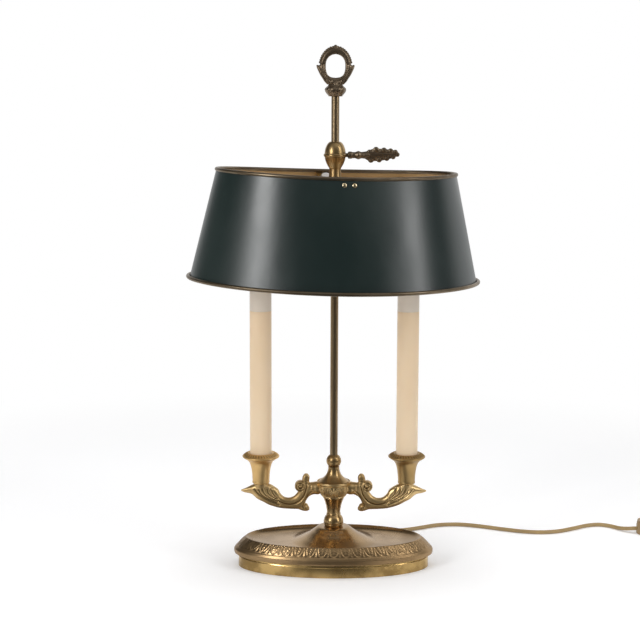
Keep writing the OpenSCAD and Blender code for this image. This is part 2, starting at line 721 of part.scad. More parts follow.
module holder_tube(side) {
    top = candle_top - holder_in + 8;
    color(BRASS) translate([side * arm_reach, 0, holder_tube_z]) difference() {
        cylinder(r = tube_r, h = top - holder_tube_z);
        translate([0, 0, -1]) cylinder(r = tube_bore_r, h = top - holder_tube_z + 2);
    }
}

module holder_tube_left() { holder_tube(-1); }
module holder_tube_right() { holder_tube(1); }

module candle_sleeve(side) {
    color(IVORY) translate([side * arm_reach, 0, candle_z]) difference() {
        cylinder(r = candle_r, h = candle_l);
        translate([0, 0, -1]) cylinder(r = candle_r - candle_t, h = candle_l + 2);
    }
}

module candle_sleeve_left() { candle_sleeve(-1); }
module candle_sleeve_right() { candle_sleeve(1); }

module lampholder(side) {
    in_r = candle_r - candle_t - seat_c;
    low = candle_top - holder_in;
    color(WHITE) translate([side * arm_reach, 0, 0]) difference() {
        revolve([
            [0, low], [8, low], [in_r, low + 6], [in_r, candle_top], [candle_r, candle_top],
            [candle_r, holder_top - 0.6], [candle_r - 0.6, holder_top], [0, holder_top]
        ]);
        translate([0, 0, low - 1]) cylinder(r = tube_r + run_c, h = 9);
        translate([0, 0, low + 6]) cylinder(r = tube_bore_r, h = cap_z - low);
        translate([0, 0, cap_z - pass_c]) cylinder(r = cap_r + pass_c, h = cap_l + 20);
        translate([0, 0, holder_top - 9]) cylinder(r = 10.8, h = 20);
    }
}

module lampholder_left() { lampholder(-1); }
module lampholder_right() { lampholder(1); }

module bulb_cap(side) {
    color([0.8, 0.8, 0.78]) translate([side * arm_reach, 0, cap_z]) revolve(concat(
        [[0, 0], [2.6, 0], [3.4, 1.2], [5.4, 3], [cap_r, 4.4]],
        [[cap_r, cap_l], [0, cap_l]]
    ));
}

module bulb_cap_left() { bulb_cap(-1); }
module bulb_cap_right() { bulb_cap(1); }

module bulb_glass(side) {
    r = bulb_d / 2;
    color([0.97, 0.96, 0.92]) translate([side * arm_reach, 0, cap_z + cap_l]) revolve(concat(
        [[0, 0]],
        curve([cap_r, 0], [cap_r + 0.2, 10], [r, 0.2 * bulb_l], [r, 0.42 * bulb_l], 8),
        curve([r - 0.1, 0.45 * bulb_l], [r, 0.62 * bulb_l], [3.4, 0.84 * bulb_l], [1.4, 0.99 * bulb_l], 10),
        [[0, bulb_l]]
    ));
}

module bulb_glass_left() { bulb_glass(-1); }
module bulb_glass_right() { bulb_glass(1); }

// ---- Clamp ----

module clamp_collar() {
    z = clamp_bead_z;
    neck_z = z - egg_h;
    color(BRASS) difference() {
        revolve(concat(
            [[0, shoulder_z], [shoulder_r, shoulder_z], [shoulder_r, shoulder_z + 0.8]],
            curve([8.4, shoulder_z + 1.6], [7.6, shoulder_z + 5], [7, shoulder_z + 8], [6.6, neck_z - 0.8], 6),
            [[6.6, neck_z], [7.5, neck_z + 0.8]],
            curve([8, neck_z + 1.8], [10, neck_z + 5], [11.6, neck_z + 9], [clamp_r - 1.2, z - 1.6], 6),
            [[clamp_r - 0.2, z - 1.2], [clamp_r, z - 0.4], [clamp_r, z + 0.4], [clamp_r - 0.2, z + 1.2]],
            curve([clamp_r - 1.1, z + 1.6], [clamp_r - 1.2, z + 6], [clamp_r - 3.2, z + dome_h - 2],
                [rod_r + 1.4, z + dome_h], 10),
            [[0, z + dome_h]]
        ));
        translate([0, 0, shoulder_z - 1]) cylinder(r = rod_r + run_c, h = 60);
        translate([0, 0, z]) rotate([0, 90, 0]) cylinder(r = key_screw_r + run_c, h = 20);
    }
    // Spigot below the shoulder, where the shade's strip turns
    color(BRASS) translate([0, 0, ring_nut_z]) difference() {
        cylinder(r = spigot_r, h = shoulder_z - ring_nut_z);
        translate([0, 0, -1]) cylinder(r = rod_r + run_c, h = shoulder_z - ring_nut_z + 2);
    }
}

module ring_nut() {
    color(BRASS) translate([0, 0, ring_nut_z]) difference() {
        cylinder(r = ring_nut_r, h = ring_nut_h);
        translate([0, 0, -1]) cylinder(r = spigot_r + run_c, h = ring_nut_h + 2);
    }
}

// Leaf-shaped key on its screw, pointing along +X
module clamp_key() {
    // Lobes of the leaf: [distance back from the tip, height, radius]
    lobes = [
        [2.8, 0.6, 2.8], [8, 3, 3.4], [16.5, 4.1, 3.9], [26.5, 4.4, 3.9],
        [7.2, -1.4, 2.6], [13.6, -2.5, 3.4], [22, -3.5, 3.8], [31.2, -4.2, 3.9]
    ];
    root = clamp_r + 1.2;
    color(BRONZE) translate([0, 0, clamp_bead_z]) union() {
        rotate([0, 90, 0]) {
            translate([0, 0, rod_r + 0.06]) cylinder(r = key_screw_r, h = root - rod_r + 1);
            rotate_extrude() polygon(concat(
                [[0, root]],
                curve([3.6, root], [3.4, root + 2], [2.7, root + 3], [2.7, root + 6], 4),
                curve([2.9, root + 9], [3.2, root + 10.4], [4.8, root + 11], [4.8, root + 13], 4),
                curve([4.6, root + 15], [3.4, root + 15.4], [3, root + 17], [2.6, root + 24], 4),
                [[0, root + 25]]
            ));
        }
        rotate([90, 0, 0]) linear_extrude(key_t, center = true) {
            for (l = lobes) translate([key_reach - l[0], l[1]]) circle(r = l[2]);
            polygon([
                [root + 20, -2.2], [key_reach - 31, -6], [key_reach - 14, -4.4], [key_reach - 3, -1],
                [key_reach - 3, 1.6], [key_reach - 14, 5.2], [key_reach - 26, 6.2], [root + 20, 2.2]
            ]);
        }
    }
}

// ---- Shade ----

// Moves the shade from its own axes, centred on the strip's middle, to its place on the clamp
module hung() {
    translate([0, 0, strip_z]) rotate([0, shade_lean, shade_turn]) translate([shade_shift, 0, 0]) children();
}

// Centre of a rim at angle q: k is 0 at the top edge and 1 at the bottom
function edge_z(q, k) = shade_top_z - strip_z - k * shade_h + shade_smile * pow(cos(q), 2);
function edge_at(q, k) = [
    (top_a + k * shade_flare) * cos(q), (top_b + k * shade_flare) * sin(q), edge_z(q, k)
];
function down_at(q) = unit(edge_at(q, 1) - edge_at(q, 0));
function out_at(q, k) = unit(cross(
    [-(top_a + k * shade_flare) * sin(q), (top_b + k * shade_flare) * cos(q), 0], -down_at(q)));

module shade_wall() {
    gap = rim_r * flat_k;
    color(GREEN) hung() difference() {
        skin([
            for (i = [0:RING_N - 1])
                let (q = 360 * i / RING_N, d = down_at(q), n0 = out_at(q, 0), n1 = out_at(q, 1),
                    a = edge_at(q, 0) + gap * d, b = edge_at(q, 1) - wall_in * n1, h = sheet_t / 2)
                    [a + h * n0, b + h * n1, b - h * n1, a - h * n0]
        ], true);
        for (end = [-1, 1]) strip_fasteners(end) cylinder(r = 1.6, h = 12, center = true);
    }
}

// Half width of the wall's middle surface at a height above the strip
function wall_y(z) = top_b + (shade_top_z - strip_z - z) * wall_slope;

// Runs its children along each screw's axis, outwards through the tab and the wall
module strip_fasteners(end) {
    z = tab_h - (end < 0 ? front_drop : back_drop);
    for (x = [-1, 1])
        translate([x * (end < 0 ? screw_gap : back_gap) / 2, end * wall_y(z), z])
            rotate([-end * (90 - wall_flare), 0, 0]) children();
}

module rim(k) {
    hung() skin([
        for (i = [0:RING_N - 1])
            let (q = 360 * i / RING_N, d = down_at(q), n = out_at(q, k))
                [for (j = [0:RIM_SIDES - 1]) let (w = 360 * (j + 0.5) / RIM_SIDES)
                    edge_at(q, k) + rim_r * (sin(w) * d + cos(w) * n)]
    ], true);
}

module shade_top_rim() { color(BRASS) rim(0); }
module shade_bottom_rim() { color(BRASS) rim(1); }

// Strip across the shade's width, its ends bent up against the wall
module cross_strip() {
    slope = wall_slope;
    reach = wall_y(0) - sheet_t - pass_c - 0.2;
    t = strip_t;
    color(BRASS) hung() difference() {
        rotate([90, 0, 90]) linear_extrude(strip_w, center = true) polygon([
            [-reach, 0], [reach, 0], [reach - tab_h * slope, tab_h], [reach - tab_h * slope - t, tab_h],
            [reach - t - t * slope, t], [-reach + t + t * slope, t],
            [-reach + tab_h * slope + t, tab_h], [-reach + tab_h * slope, tab_h]
        ]);
        translate([-shade_shift, 0, -1]) cylinder(r = spigot_r + pass_c, h = strip_t + 2);
        for (end = [-1, 1]) strip_fasteners(end) cylinder(r = 1.6, h = 14, center = true);
    }
}

module strip_screws() {
    head_h = 1.8;
    color(BRASS) hung() for (end = [-1, 1]) strip_fasteners(end) {
        translate([0, 0, -6.4]) cylinder(r = 1.4, h = 6.4 + sheet_t / 2 + 0.1);
        translate([0, 0, sheet_t / 2 + 0.1]) difference() {
            cylinder(r1 = 2.7, r2 = 1.7, h = head_h);
            translate([-4, -0.35, head_h - 0.8]) cube([8, 0.7, 2]);
        }
    }
}

module strip_nuts() {
    color(BRASS) hung() for (end = [-1, 1]) strip_fasteners(end)
        translate([0, 0, -5.6]) difference() {
            cylinder(r = 2.6, h = 2.2, $fn = 6);
            translate([0, 0, -1]) cylinder(r = 1.4 + run_c, h = 5);
        }
}

// Blank paper oval at the top of the strip's back tab, between the nuts
module shade_label() {
    tab_in = (sheet_t + pass_c + 0.2 + strip_t) * cos(wall_flare);
    color(WHITE) hung() translate([0, wall_y(label_z), label_z]) rotate([wall_flare - 90, 0, 0])
        translate([0, 0, -tab_in - 0.32]) linear_extrude(0.3) scale([1, label_h / label_w]) circle(d = label_w);
}

// ---- Cord ----

module cord_lead() { color(GOLD_CORD) cord_tube(lead_route, 2); }
module cord_tail() { color(GOLD_CORD) cord_tube(tail_route, 2); }
module cord_end() { color(GOLD_CORD) cord_tube(end_route, 2); }

module cord_coil() {
    color(GOLD_CORD) translate([coil_c[0], coil_c[1], 0]) rotate_extrude()
        translate([coil_mid_r - coil_half, 0]) square([2 * coil_half, 2 * coil_half]);
}

// Plan of the switch housing
module switch_plan(inset) {
    w = switch_w - 2 * inset;
    r = 0.45 * w;
    for (x = [r + inset, switch_l - r - inset], y = [-1, 1]) translate([x, y * (w / 2 - r)]) circle(r = r);
    translate([r + inset, -w / 2]) square([switch_l - 2 * (r + inset), w]);
    translate([inset, -(w / 2 - r)]) square([switch_l - 2 * inset, w - 2 * r]);
}

// Slot for the rocker, and the hole for its pin
rocker_l = 22;
rocker_w = 9;
pin_r = 1;
pin_z = switch_h - 5;
rocker_tilt = 8;

module switch_cut() {
    translate([switch_l / 2 - rocker_l / 2 - pass_c, -rocker_w / 2 - pass_c, 0.5 * switch_h])
        cube([rocker_l + 2 * pass_c, rocker_w + 2 * pass_c, switch_h]);
    translate([switch_l / 2, 0, pin_z]) rotate([90, 0, 0]) cylinder(r = pin_r + 0.02, h = rocker_w + 7, center = true);
}

module switch_half(low, high, inset_low, inset_high) {
    steps = 3;
    color([0.45, 0.36, 0.22]) translate([switch_x, switch_y, 0]) difference() {
        for (i = [0:steps - 1])
            translate([0, 0, low + (high - low) * i / steps])
                linear_extrude((high - low) / steps)
                    switch_plan(inset_low + (inset_high - inset_low) * pow((i + 0.5) / steps, 2));
        switch_cut();
    }
}

module switch_bottom() { switch_half(0, 0.5 * switch_h, 0, 0); }
module switch_top() { switch_half(0.5 * switch_h, switch_h, 0, 1.6); }

// Rocker in its slot, tipped to its first position about its pin
module switch_rocker() {
    r = rocker_l / 2 - 0.5;
    color([0.3, 0.24, 0.16]) translate([switch_x + switch_l / 2, switch_y, pin_z])
        rotate([0, rocker_tilt, 0]) difference() {
        rotate([90, 0, 0]) linear_extrude(rocker_w, center = true)
            polygon(concat([[-r, 1.5], [-2.4, -3], [2.4, -3], [r, 1.5], [r, 4.6]],
                curve([r - 1, 5.8], [4, 4.4], [-4, 4.4], [-r + 1, 5.8], 6), [[-r, 4.6]]));
        rotate([90, 0, 0]) cylinder(r = pin_r + run_c, h = rocker_w + 2, center = true);
    }
}

module rocker_pin() {
    color([0.75, 0.75, 0.72]) translate([switch_x + switch_l / 2, switch_y, pin_z])
        rotate([90, 0, 0]) cylinder(r = pin_r, h = rocker_w + 7, center = true);
}

// Two-pin plug lying beside the coil, its pins along -X
module plug_body() {
    relief = 24;
    body_l = 30;
    color(GOLD_CORD) translate([plug_x, plug_y, plug_z]) difference() {
        union() {
            rotate([0, -90, 0]) cylinder(r1 = cord_r + 0.6, r2 = cord_r + 2.6, h = relief);
            translate([-relief - body_l, 0, 0]) rotate([0, 90, 0]) linear_extrude(body_l) {
                square([2 * (plug_z - 0.4), 13], center = true);
                for (s = [-1, 1]) translate([0, s * 10]) circle(r = plug_z - 0.4);
                square([2 * (plug_z - 0.4), 20], center = true);
            }
        }
        for (s = [-1, 1]) translate([-relief - body_l - 1, s * 9.5, 0]) rotate([0, 90, 0]) cylinder(r = 2, h = 11);
    }
}

module plug_pins() {
    color([0.75, 0.75, 0.72]) translate([plug_x - 54 + 10, plug_y, plug_z])
        for (s = [-1, 1]) translate([0, s * 9.5, 0]) rotate([0, -90, 0]) {
            cylinder(r = 2, h = 27);
            translate([0, 0, 27]) cylinder(r1 = 2, r2 = 1, h = 2);
        }
}

base_shell();
foot_ring();
base_weight();
base_washer();
base_nut();
felt_pad();
centre_tube();
terminal_block();
inner_lead();
cable_bush();
lower_stem();
hub_bowl();
trumpet_cover();
rod_ball();
rod();
finial();
arm_left();
arm_right();
candle_cup_left();
candle_cup_right();
holder_tube_left();
holder_tube_right();
candle_sleeve_left();
candle_sleeve_right();
lampholder_left();
lampholder_right();
bulb_cap_left();
bulb_cap_right();
bulb_glass_left();
bulb_glass_right();
clamp_collar();
ring_nut();
clamp_key();
shade_wall();
shade_top_rim();
shade_bottom_rim();
cross_strip();
strip_screws();
strip_nuts();
shade_label();
cord_lead();
switch_bottom();
switch_top();
switch_rocker();
rocker_pin();
cord_tail();
cord_coil();
cord_end();
plug_body();
plug_pins();
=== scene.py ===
"""Dresses a two-light bouillotte lamp: brass casting, oval painted shade, candle sleeves and cord.

Sizes are in millimetres; a mesh is scaled to metres when it becomes a piece.
The lamp stands on the floor at the origin, Z up, with its front towards -Y and its cord at +Y.
"""

import json
import logging
import math
from dataclasses import dataclass
from enum import Enum
from functools import cache
from typing import Callable, Sequence

import bmesh
import bpy
import numpy as np
from mathutils import Matrix, Vector

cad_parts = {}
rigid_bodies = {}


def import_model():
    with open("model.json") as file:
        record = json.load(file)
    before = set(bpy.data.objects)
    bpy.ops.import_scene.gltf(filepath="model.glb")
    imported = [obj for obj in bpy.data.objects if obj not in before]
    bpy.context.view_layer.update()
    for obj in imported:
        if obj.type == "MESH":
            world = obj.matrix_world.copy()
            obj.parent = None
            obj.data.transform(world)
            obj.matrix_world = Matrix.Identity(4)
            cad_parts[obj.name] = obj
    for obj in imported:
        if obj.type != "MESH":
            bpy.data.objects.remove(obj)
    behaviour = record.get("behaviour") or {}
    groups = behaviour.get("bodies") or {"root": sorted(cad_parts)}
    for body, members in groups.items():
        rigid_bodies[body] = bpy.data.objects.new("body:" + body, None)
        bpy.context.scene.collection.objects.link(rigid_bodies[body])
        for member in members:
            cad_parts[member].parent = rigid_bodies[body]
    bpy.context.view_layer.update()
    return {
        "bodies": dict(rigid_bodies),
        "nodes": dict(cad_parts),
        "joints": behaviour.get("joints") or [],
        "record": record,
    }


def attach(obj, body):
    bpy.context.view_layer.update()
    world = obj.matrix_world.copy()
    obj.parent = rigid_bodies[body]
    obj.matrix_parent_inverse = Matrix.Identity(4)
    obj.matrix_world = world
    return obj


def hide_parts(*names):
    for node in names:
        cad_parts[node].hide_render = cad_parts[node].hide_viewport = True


MM = 0.001
FRAME_PX = 640
# Level of carving of plain metal, between a hollow at 0 and a ridge at 1
PLAIN = 0.5
# Edges sharper than this many degrees stay sharp, on turned pieces and on carved ones
CREASE = 38.0
CARVED = 50.0

log = logging.getLogger("bouillotte_lamp")

Colour = tuple[float, float, float]
# Out and height, or a pair of limits or sizes
Spot = tuple[float, float]
Profile = list[Spot]
Point = tuple[float, float, float]
# Out and height of one edge of a side view, the same of the other edge, and half the depth
Station = tuple[float, float, float, float, float]


# ---------------------------------------------------------------- curves and grids


def srgb(red: int, green: int, blue: int) -> Colour:
    """Turns a colour as it is seen on a screen into the linear one that a shader takes.

    Args:
        red, green, blue: levels from 0 to 255.

    Returns:
        The linear colour.
    """
    levels = (red / 255, green / 255, blue / 255)
    return tuple(v / 12.92 if v <= 0.04045 else ((v + 0.055) / 1.055) ** 2.4 for v in levels)


def ease(low: float, high: float, value: np.ndarray | float) -> np.ndarray | float:
    """Rises smoothly from 0 at low to 1 at high."""
    t = np.clip((value - low) / (high - low), 0, 1)
    return t * t * (3 - 2 * t)


def bump_at(value: np.ndarray, centre: float, width: float) -> np.ndarray:
    """A round bump of height 1 at centre that dies away over width on both sides."""
    return np.exp(-(((value - centre) / width) ** 2))


def bezier(a: Spot, b: Spot, c: Spot, d: Spot, steps: int) -> Profile:
    """Follows the cubic curve of four control points.

    Args:
        a, b, c, d: the control points.
        steps: number of steps along the curve.

    Returns:
        steps + 1 points.
    """
    points = np.array([a, b, c, d], float)
    out = []
    for t in np.linspace(0, 1, steps + 1):
        shares = np.array([(1 - t) ** 3, 3 * t * (1 - t) ** 2, 3 * t * t * (1 - t), t**3])
        out.append(tuple(shares @ points))
    return out


def through(points: Sequence[Sequence[float]], steps: int) -> np.ndarray:
    """Draws a smooth curve through points of any dimension.

    Args:
        points: the points that the curve passes.
        steps: number of steps between two of them.

    Returns:
        The curve's points, one per row.
    """
    p = np.array(points, float)
    last = len(p) - 1
    out = []
    for i in range(last):
        a, b, c, d = p[max(i - 1, 0)], p[i], p[i + 1], p[min(i + 2, last)]
        for j in range(steps):
            t = j / steps
            bend = (2 * a - 5 * b + 4 * c - d) * t * t + (3 * b - a - 3 * c + d) * t**3
            out.append(0.5 * (2 * b + (c - a) * t + bend))
    out.append(p[last])
    return np.array(out)


def run_of(points: np.ndarray) -> np.ndarray:
    """Distance of each point of a line from its first point, along the line."""
    return np.concatenate([[0], np.cumsum(np.linalg.norm(np.diff(points, axis=0), axis=1))])


def arc_even(points: np.ndarray, count: int) -> np.ndarray:
    """Places points at even distances along a line.

    Args:
        points: the line's points, one per row.
        count: how many points to place, both ends included.

    Returns:
        The evenly spaced points.
    """
    run = run_of(points)
    marks = np.linspace(0, run[-1], count)
    return np.stack([np.interp(marks, run, points[:, k]) for k in range(points.shape[1])], axis=1)


def fuller(value: np.ndarray, power: float = 0.8) -> np.ndarray:
    """Bends a sine or cosine so that the round section that it draws becomes squarer."""
    return np.sign(value) * np.abs(value) ** power


def outward(grid: np.ndarray) -> np.ndarray:
    """Works out the normals of a grid that is closed along its first axis only.

    Args:
        grid: points in rows and columns.

    Returns:
        A unit normal for each point.
    """
    around = np.roll(grid, -1, axis=0) - np.roll(grid, 1, axis=0)
    n = np.cross(around, np.gradient(grid, axis=1))
    return n / np.maximum(np.linalg.norm(n, axis=2, keepdims=True), 1e-9)


def raised(grid: np.ndarray, height: np.ndarray) -> np.ndarray:
    """Lifts the points of a grid along its normals by a height for each of them."""
    return grid + outward(grid) * height[:, :, None]


def motif_place(
    rows: int, first: int, steps: int, columns: int, motif: int
) -> tuple[np.ndarray, np.ndarray]:
    """Places the points of a grid in a band of repeated motifs.

    Args:
        rows: number of the grid's points from end to end.
        first: the point where the band starts.
        steps: number of steps to the band's end.
        columns: number of the grid's points around.
        motif: how many of those one motif takes.

    Returns:
        The place across the motif, from -0.5 to 0.5, as a column, and the place along the
        band, from 0 at its start to 1, as a row.
    """
    across = (np.arange(columns) % motif) / motif - 0.5
    return across[:, None], ((np.arange(rows) - first) / steps)[None, :]


def turned(profile: Profile, sides: int = 96) -> np.ndarray:
    """Turns a profile of (radius, height) points about Z.

    Args:
        profile: the points from one end to the other.
        sides: number of columns around.

    Returns:
        A grid of sides by len(profile) points.
    """
    q = np.linspace(0, 2 * math.pi, sides, endpoint=False)[:, None]
    r, z = np.array(profile).T[:, None, :]
    return np.stack([r * np.cos(q), r * np.sin(q), z + 0 * q], axis=2)


def swept(path: np.ndarray, radii: np.ndarray, sides: int = 16, flat: float = 1.0) -> np.ndarray:
    """Sweeps a round or flattened section along a line without twisting it.

    Args:
        path: the centreline's points, one per row.
        radii: the section's radius at each point.
        sides: number of points around the section.
        flat: height of the section over its width.

    Returns:
        A grid of len(path) by sides points.
    """
    ahead = np.gradient(path, axis=0)
    ahead /= np.linalg.norm(ahead, axis=1, keepdims=True)
    side = np.cross(ahead[0], (0, 0, 1))
    if np.linalg.norm(side) < 0.1:
        side = np.cross(ahead[0], (0, 1, 0))
    rings = []
    q = np.linspace(0, 2 * math.pi, sides, endpoint=False)
    for centre, t, r in zip(path, ahead, radii):
        side = side - t * np.dot(side, t)
        side /= np.linalg.norm(side)
        up = np.cross(side, t)
        rings.append(centre + r * (np.outer(np.cos(q), side) + flat * np.outer(np.sin(q), up)))
    return np.array(rings)


def sections(stations: Sequence[Station], steps: int, sides: int, first: float = 0.5) -> np.ndarray:
    """Draws squarish sections through the stations of a side view.

    Args:
        stations: the side view's stations.
        steps: number of sections between two stations.
        sides: number of points around a section.
        first: how far the first of them is turned, in parts of the way to the next.

    Returns:
        A grid of sections by sides points, with the depth along Y.
    """
    rows = through(stations, steps)
    q = np.radians(360 * (np.arange(sides) + first) / sides)
    k, d = fuller(np.cos(q))[None, :], fuller(np.sin(q))[None, :]
    middle, half = (rows[:, :2] + rows[:, 2:4]) / 2, (rows[:, :2] - rows[:, 2:4]) / 2
    x, z = (middle[:, axis, None] + half[:, axis, None] * k for axis in (0, 1))
    return np.stack([x, rows[:, 4][:, None] * d, z], axis=2)


class Shape:
    """Gathers surfaces in millimetres and makes one Blender object of them."""

    def __init__(self, name: str) -> None:
        """Starts an empty shape.

        Args:
            name: the name that its piece will have.
        """
        self.name = name
        self.points: list[np.ndarray] = []
        self.faces: list[tuple[int, ...]] = []
        self.marks: list[int] = []
        self.relief: list[np.ndarray] = []
        self.count = 0

    def sheet(
        self,
        grid: np.ndarray,
        close_u: bool = True,
        close_v: bool = False,
        caps: bool = False,
        relief: np.ndarray | None = None,
        mark: int = 0,
    ) -> "Shape":
        """Adds a grid of points as a surface of four-sided faces.

        Args:
            grid: points in rows along u and columns along v.
            close_u: joins the last row to the first.
            close_v: joins the last column to the first.
            caps: closes the open ends with one face each.
            relief: a value from 0, hollow, to 1, raised, for each point.
            mark: number of the material slot of these faces.

        Returns:
            The shape itself.
        """
        nu, nv = grid.shape[:2]
        base = self.count
        self.points.append(grid.reshape(-1, 3))
        self.relief.append(np.full(nu * nv, PLAIN) if relief is None else relief.reshape(-1))
        self.count += nu * nv
        start = len(self.faces)
        for i in range(nu if close_u else nu - 1):
            k = (i + 1) % nu
            for j in range(nv if close_v else nv - 1):
                m = (j + 1) % nv
                corners = ((i, j), (k, j), (k, m), (i, m))
                self.faces.append(tuple(base + a * nv + b for a, b in corners))
        if caps and close_u:
            self.faces += [tuple(base + i * nv + j for i in range(nu)) for j in (0, nv - 1)]
        if caps and close_v:
            self.faces += [tuple(base + i * nv + j for j in range(nv)) for i in (0, nu - 1)]
        self.marks += [mark] * (len(self.faces) - start)
        return self

    def tube(self, grid: np.ndarray) -> "Shape":
        """Adds a grid of closed sections, one per row, as a tube with both ends closed."""
        return self.sheet(grid, close_u=False, close_v=True, caps=True)

    def ball(self, centre: Sequence[float], radii: Sequence[float], sides: int = 24) -> "Shape":
        """Adds a rounded bead.

        Args:
            centre: its middle.
            radii: its radius along each axis.
            sides: number of columns around.

        Returns:
            The shape itself.
        """
        q = np.radians(np.linspace(-90, 90, sides // 2 + 1))
        profile = [(max(math.cos(a), 0.02), math.sin(a)) for a in q]
        return self.sheet(turned(profile, sides) * np.array(radii) + np.array(centre), caps=True)

    def lift(self, height: float) -> None:
        """Moves everything gathered so far up by a height."""
        self.points = [points + np.array([0, 0, height]) for points in self.points]

    def mesh(self, crease: float | None = CREASE) -> bpy.types.Mesh:
        """Makes the Blender mesh, in metres.

        Args:
            crease: edges sharper than this many degrees stay sharp; none do without it.

        Returns:
            The mesh, with its relief kept as an attribute of its points.
        """
        data = bpy.data.meshes.new(self.name)
        data.from_pydata((np.concatenate(self.points) * MM).tolist(), [], self.faces)
        level = data.attributes.new("relief", "FLOAT", "POINT")
        level.data.foreach_set("value", np.concatenate(self.relief).astype(np.float32))
        data.polygons.foreach_set("material_index", self.marks)
        data.validate()
        turn_faces_out(data)
        data.polygons.foreach_set("use_smooth", [True] * len(data.polygons))
        if crease is not None:
            data.set_sharp_from_angle(angle=math.radians(crease))
        return data

    def piece(self, crease: float = CREASE) -> bpy.types.Object:
        """Makes the object and links it to the scene."""
        return placed(self.name, self.mesh(crease))

    def casting(
        self, grain: float, carve: "Carving", mirror: bool = False, soften: int = 2
    ) -> bpy.types.Object:
        """Melts the gathered surfaces into one smooth skin, as in a casting.

        Args:
            grain: size of the smallest form that stays, in millimetres.
            carve: the grooves that are cut into the skin.
            mirror: whether the piece is the mirror image about the YZ plane.
            soften: how often the skin is smoothed.

        Returns:
            The object, linked to the scene.
        """
        rough = placed(self.name, self.mesh(None))
        melt = rough.modifiers.new("melt", "REMESH")
        melt.mode = "VOXEL"
        melt.voxel_size = grain * MM
        melt.use_smooth_shade = True
        calm = rough.modifiers.new("calm", "SMOOTH")
        calm.factor = 0.5
        calm.iterations = soften
        bpy.context.view_layer.update()
        melted = rough.evaluated_get(bpy.context.evaluated_depsgraph_get())
        skin = bpy.data.meshes.new_from_object(melted)
        bpy.data.objects.remove(rough)
        carve.cut(skin)
        if mirror:
            skin.transform(Matrix.Scale(-1, 4, (1, 0, 0)))
            skin.flip_normals()
        skin.polygons.foreach_set("use_smooth", [True] * len(skin.polygons))
        skin.name = self.name
        return placed(self.name, skin)

    @classmethod
    def lathe(
        cls, name: str, profile: Profile, sides: int = 96, middle: float = 0.0, caps: bool = False
    ) -> bpy.types.Object:
        """Makes a turned piece.

        Args:
            name: the piece's name.
            profile: its (radius, height) points from one end to the other.
            sides: number of columns around.
            middle: its distance out along X.
            caps: closes an open profile's ends, where a ring would close on itself.

        Returns:
            The object, linked to the scene.
        """
        grid = turned(profile, sides) + np.array([middle, 0, 0])
        return cls(name).sheet(grid, close_v=not caps, caps=caps).piece()


@dataclass
class Carving:
    """Grooves along lines drawn on the side view, cut into both flanks of a casting.

    lines holds each groove's points as (out, height), its half width and its depth. They
    are drawn from base_z upwards. flank says how far a face may turn from the side view,
    and level is the carving level of the metal between the grooves.
    """

    lines: Sequence[tuple[Profile, float, float]]
    base_z: float
    flank: Spot = (0.25, 0.7)
    level: float = 0.6

    def depth_at(self, spots: np.ndarray) -> tuple[np.ndarray, np.ndarray]:
        """How deep the grooves are at points of the side view.

        Args:
            spots: points as (out, height), one per row.

        Returns:
            The depth in millimetres, and its share of the groove's full depth.
        """
        depth, share = np.zeros(len(spots)), np.zeros(len(spots))
        for points, width, full in self.lines:
            line = through(points, 5) + np.array([0, self.base_z])
            near = np.full(len(spots), np.inf)
            for a, b in zip(line[:-1], line[1:]):
                way = b - a
                t = np.clip((spots - a) @ way / (way @ way), 0, 1)
                near = np.minimum(near, np.linalg.norm(spots - a - t[:, None] * way, axis=1))
            cut = np.exp(-((near / width) ** 2))
            depth = np.maximum(depth, full * cut)
            share = np.maximum(share, cut)
        return depth, share

    def cut(self, skin: bpy.types.Mesh) -> None:
        """Sinks the skin along the grooves and marks their hollows in its relief.

        Args:
            skin: the casting's mesh.
        """
        spots, normals = np.zeros((2, len(skin.vertices) * 3))
        skin.vertices.foreach_get("co", spots)
        skin.vertex_normals.foreach_get("vector", normals)
        spots, normals = spots.reshape(-1, 3) / MM, normals.reshape(-1, 3)
        depth, share = self.depth_at(spots[:, [0, 2]])
        flank = np.asarray(ease(*self.flank, np.abs(normals[:, 1])))
        spots -= normals * (depth * flank)[:, None]
        skin.vertices.foreach_set("co", (spots * MM).reshape(-1))
        relief = skin.attributes.get("relief") or skin.attributes.new("relief", "FLOAT", "POINT")
        levels = self.level - self.level * share * flank
        relief.data.foreach_set("value", levels.astype(np.float32))
        skin.update()


def turn_faces_out(data: bpy.types.Mesh) -> None:
    """Makes all faces of a mesh point outwards.

    Args:
        data: the mesh.
    """
    work = bmesh.new()
    work.from_mesh(data)
    bmesh.ops.recalc_face_normals(work, faces=work.faces)
    work.to_mesh(data)
    work.free()


def placed(name: str, data: bpy.types.ID) -> bpy.types.Object:
    """Makes an object and links it to the scene.

    Args:
        name: its name.
        data: its mesh, lamp or camera.

    Returns:
        The object.
    """
    thing = bpy.data.objects.new(name, data)
    bpy.context.scene.collection.objects.link(thing)
    return thing


# ---------------------------------------------------------------- shader nodes


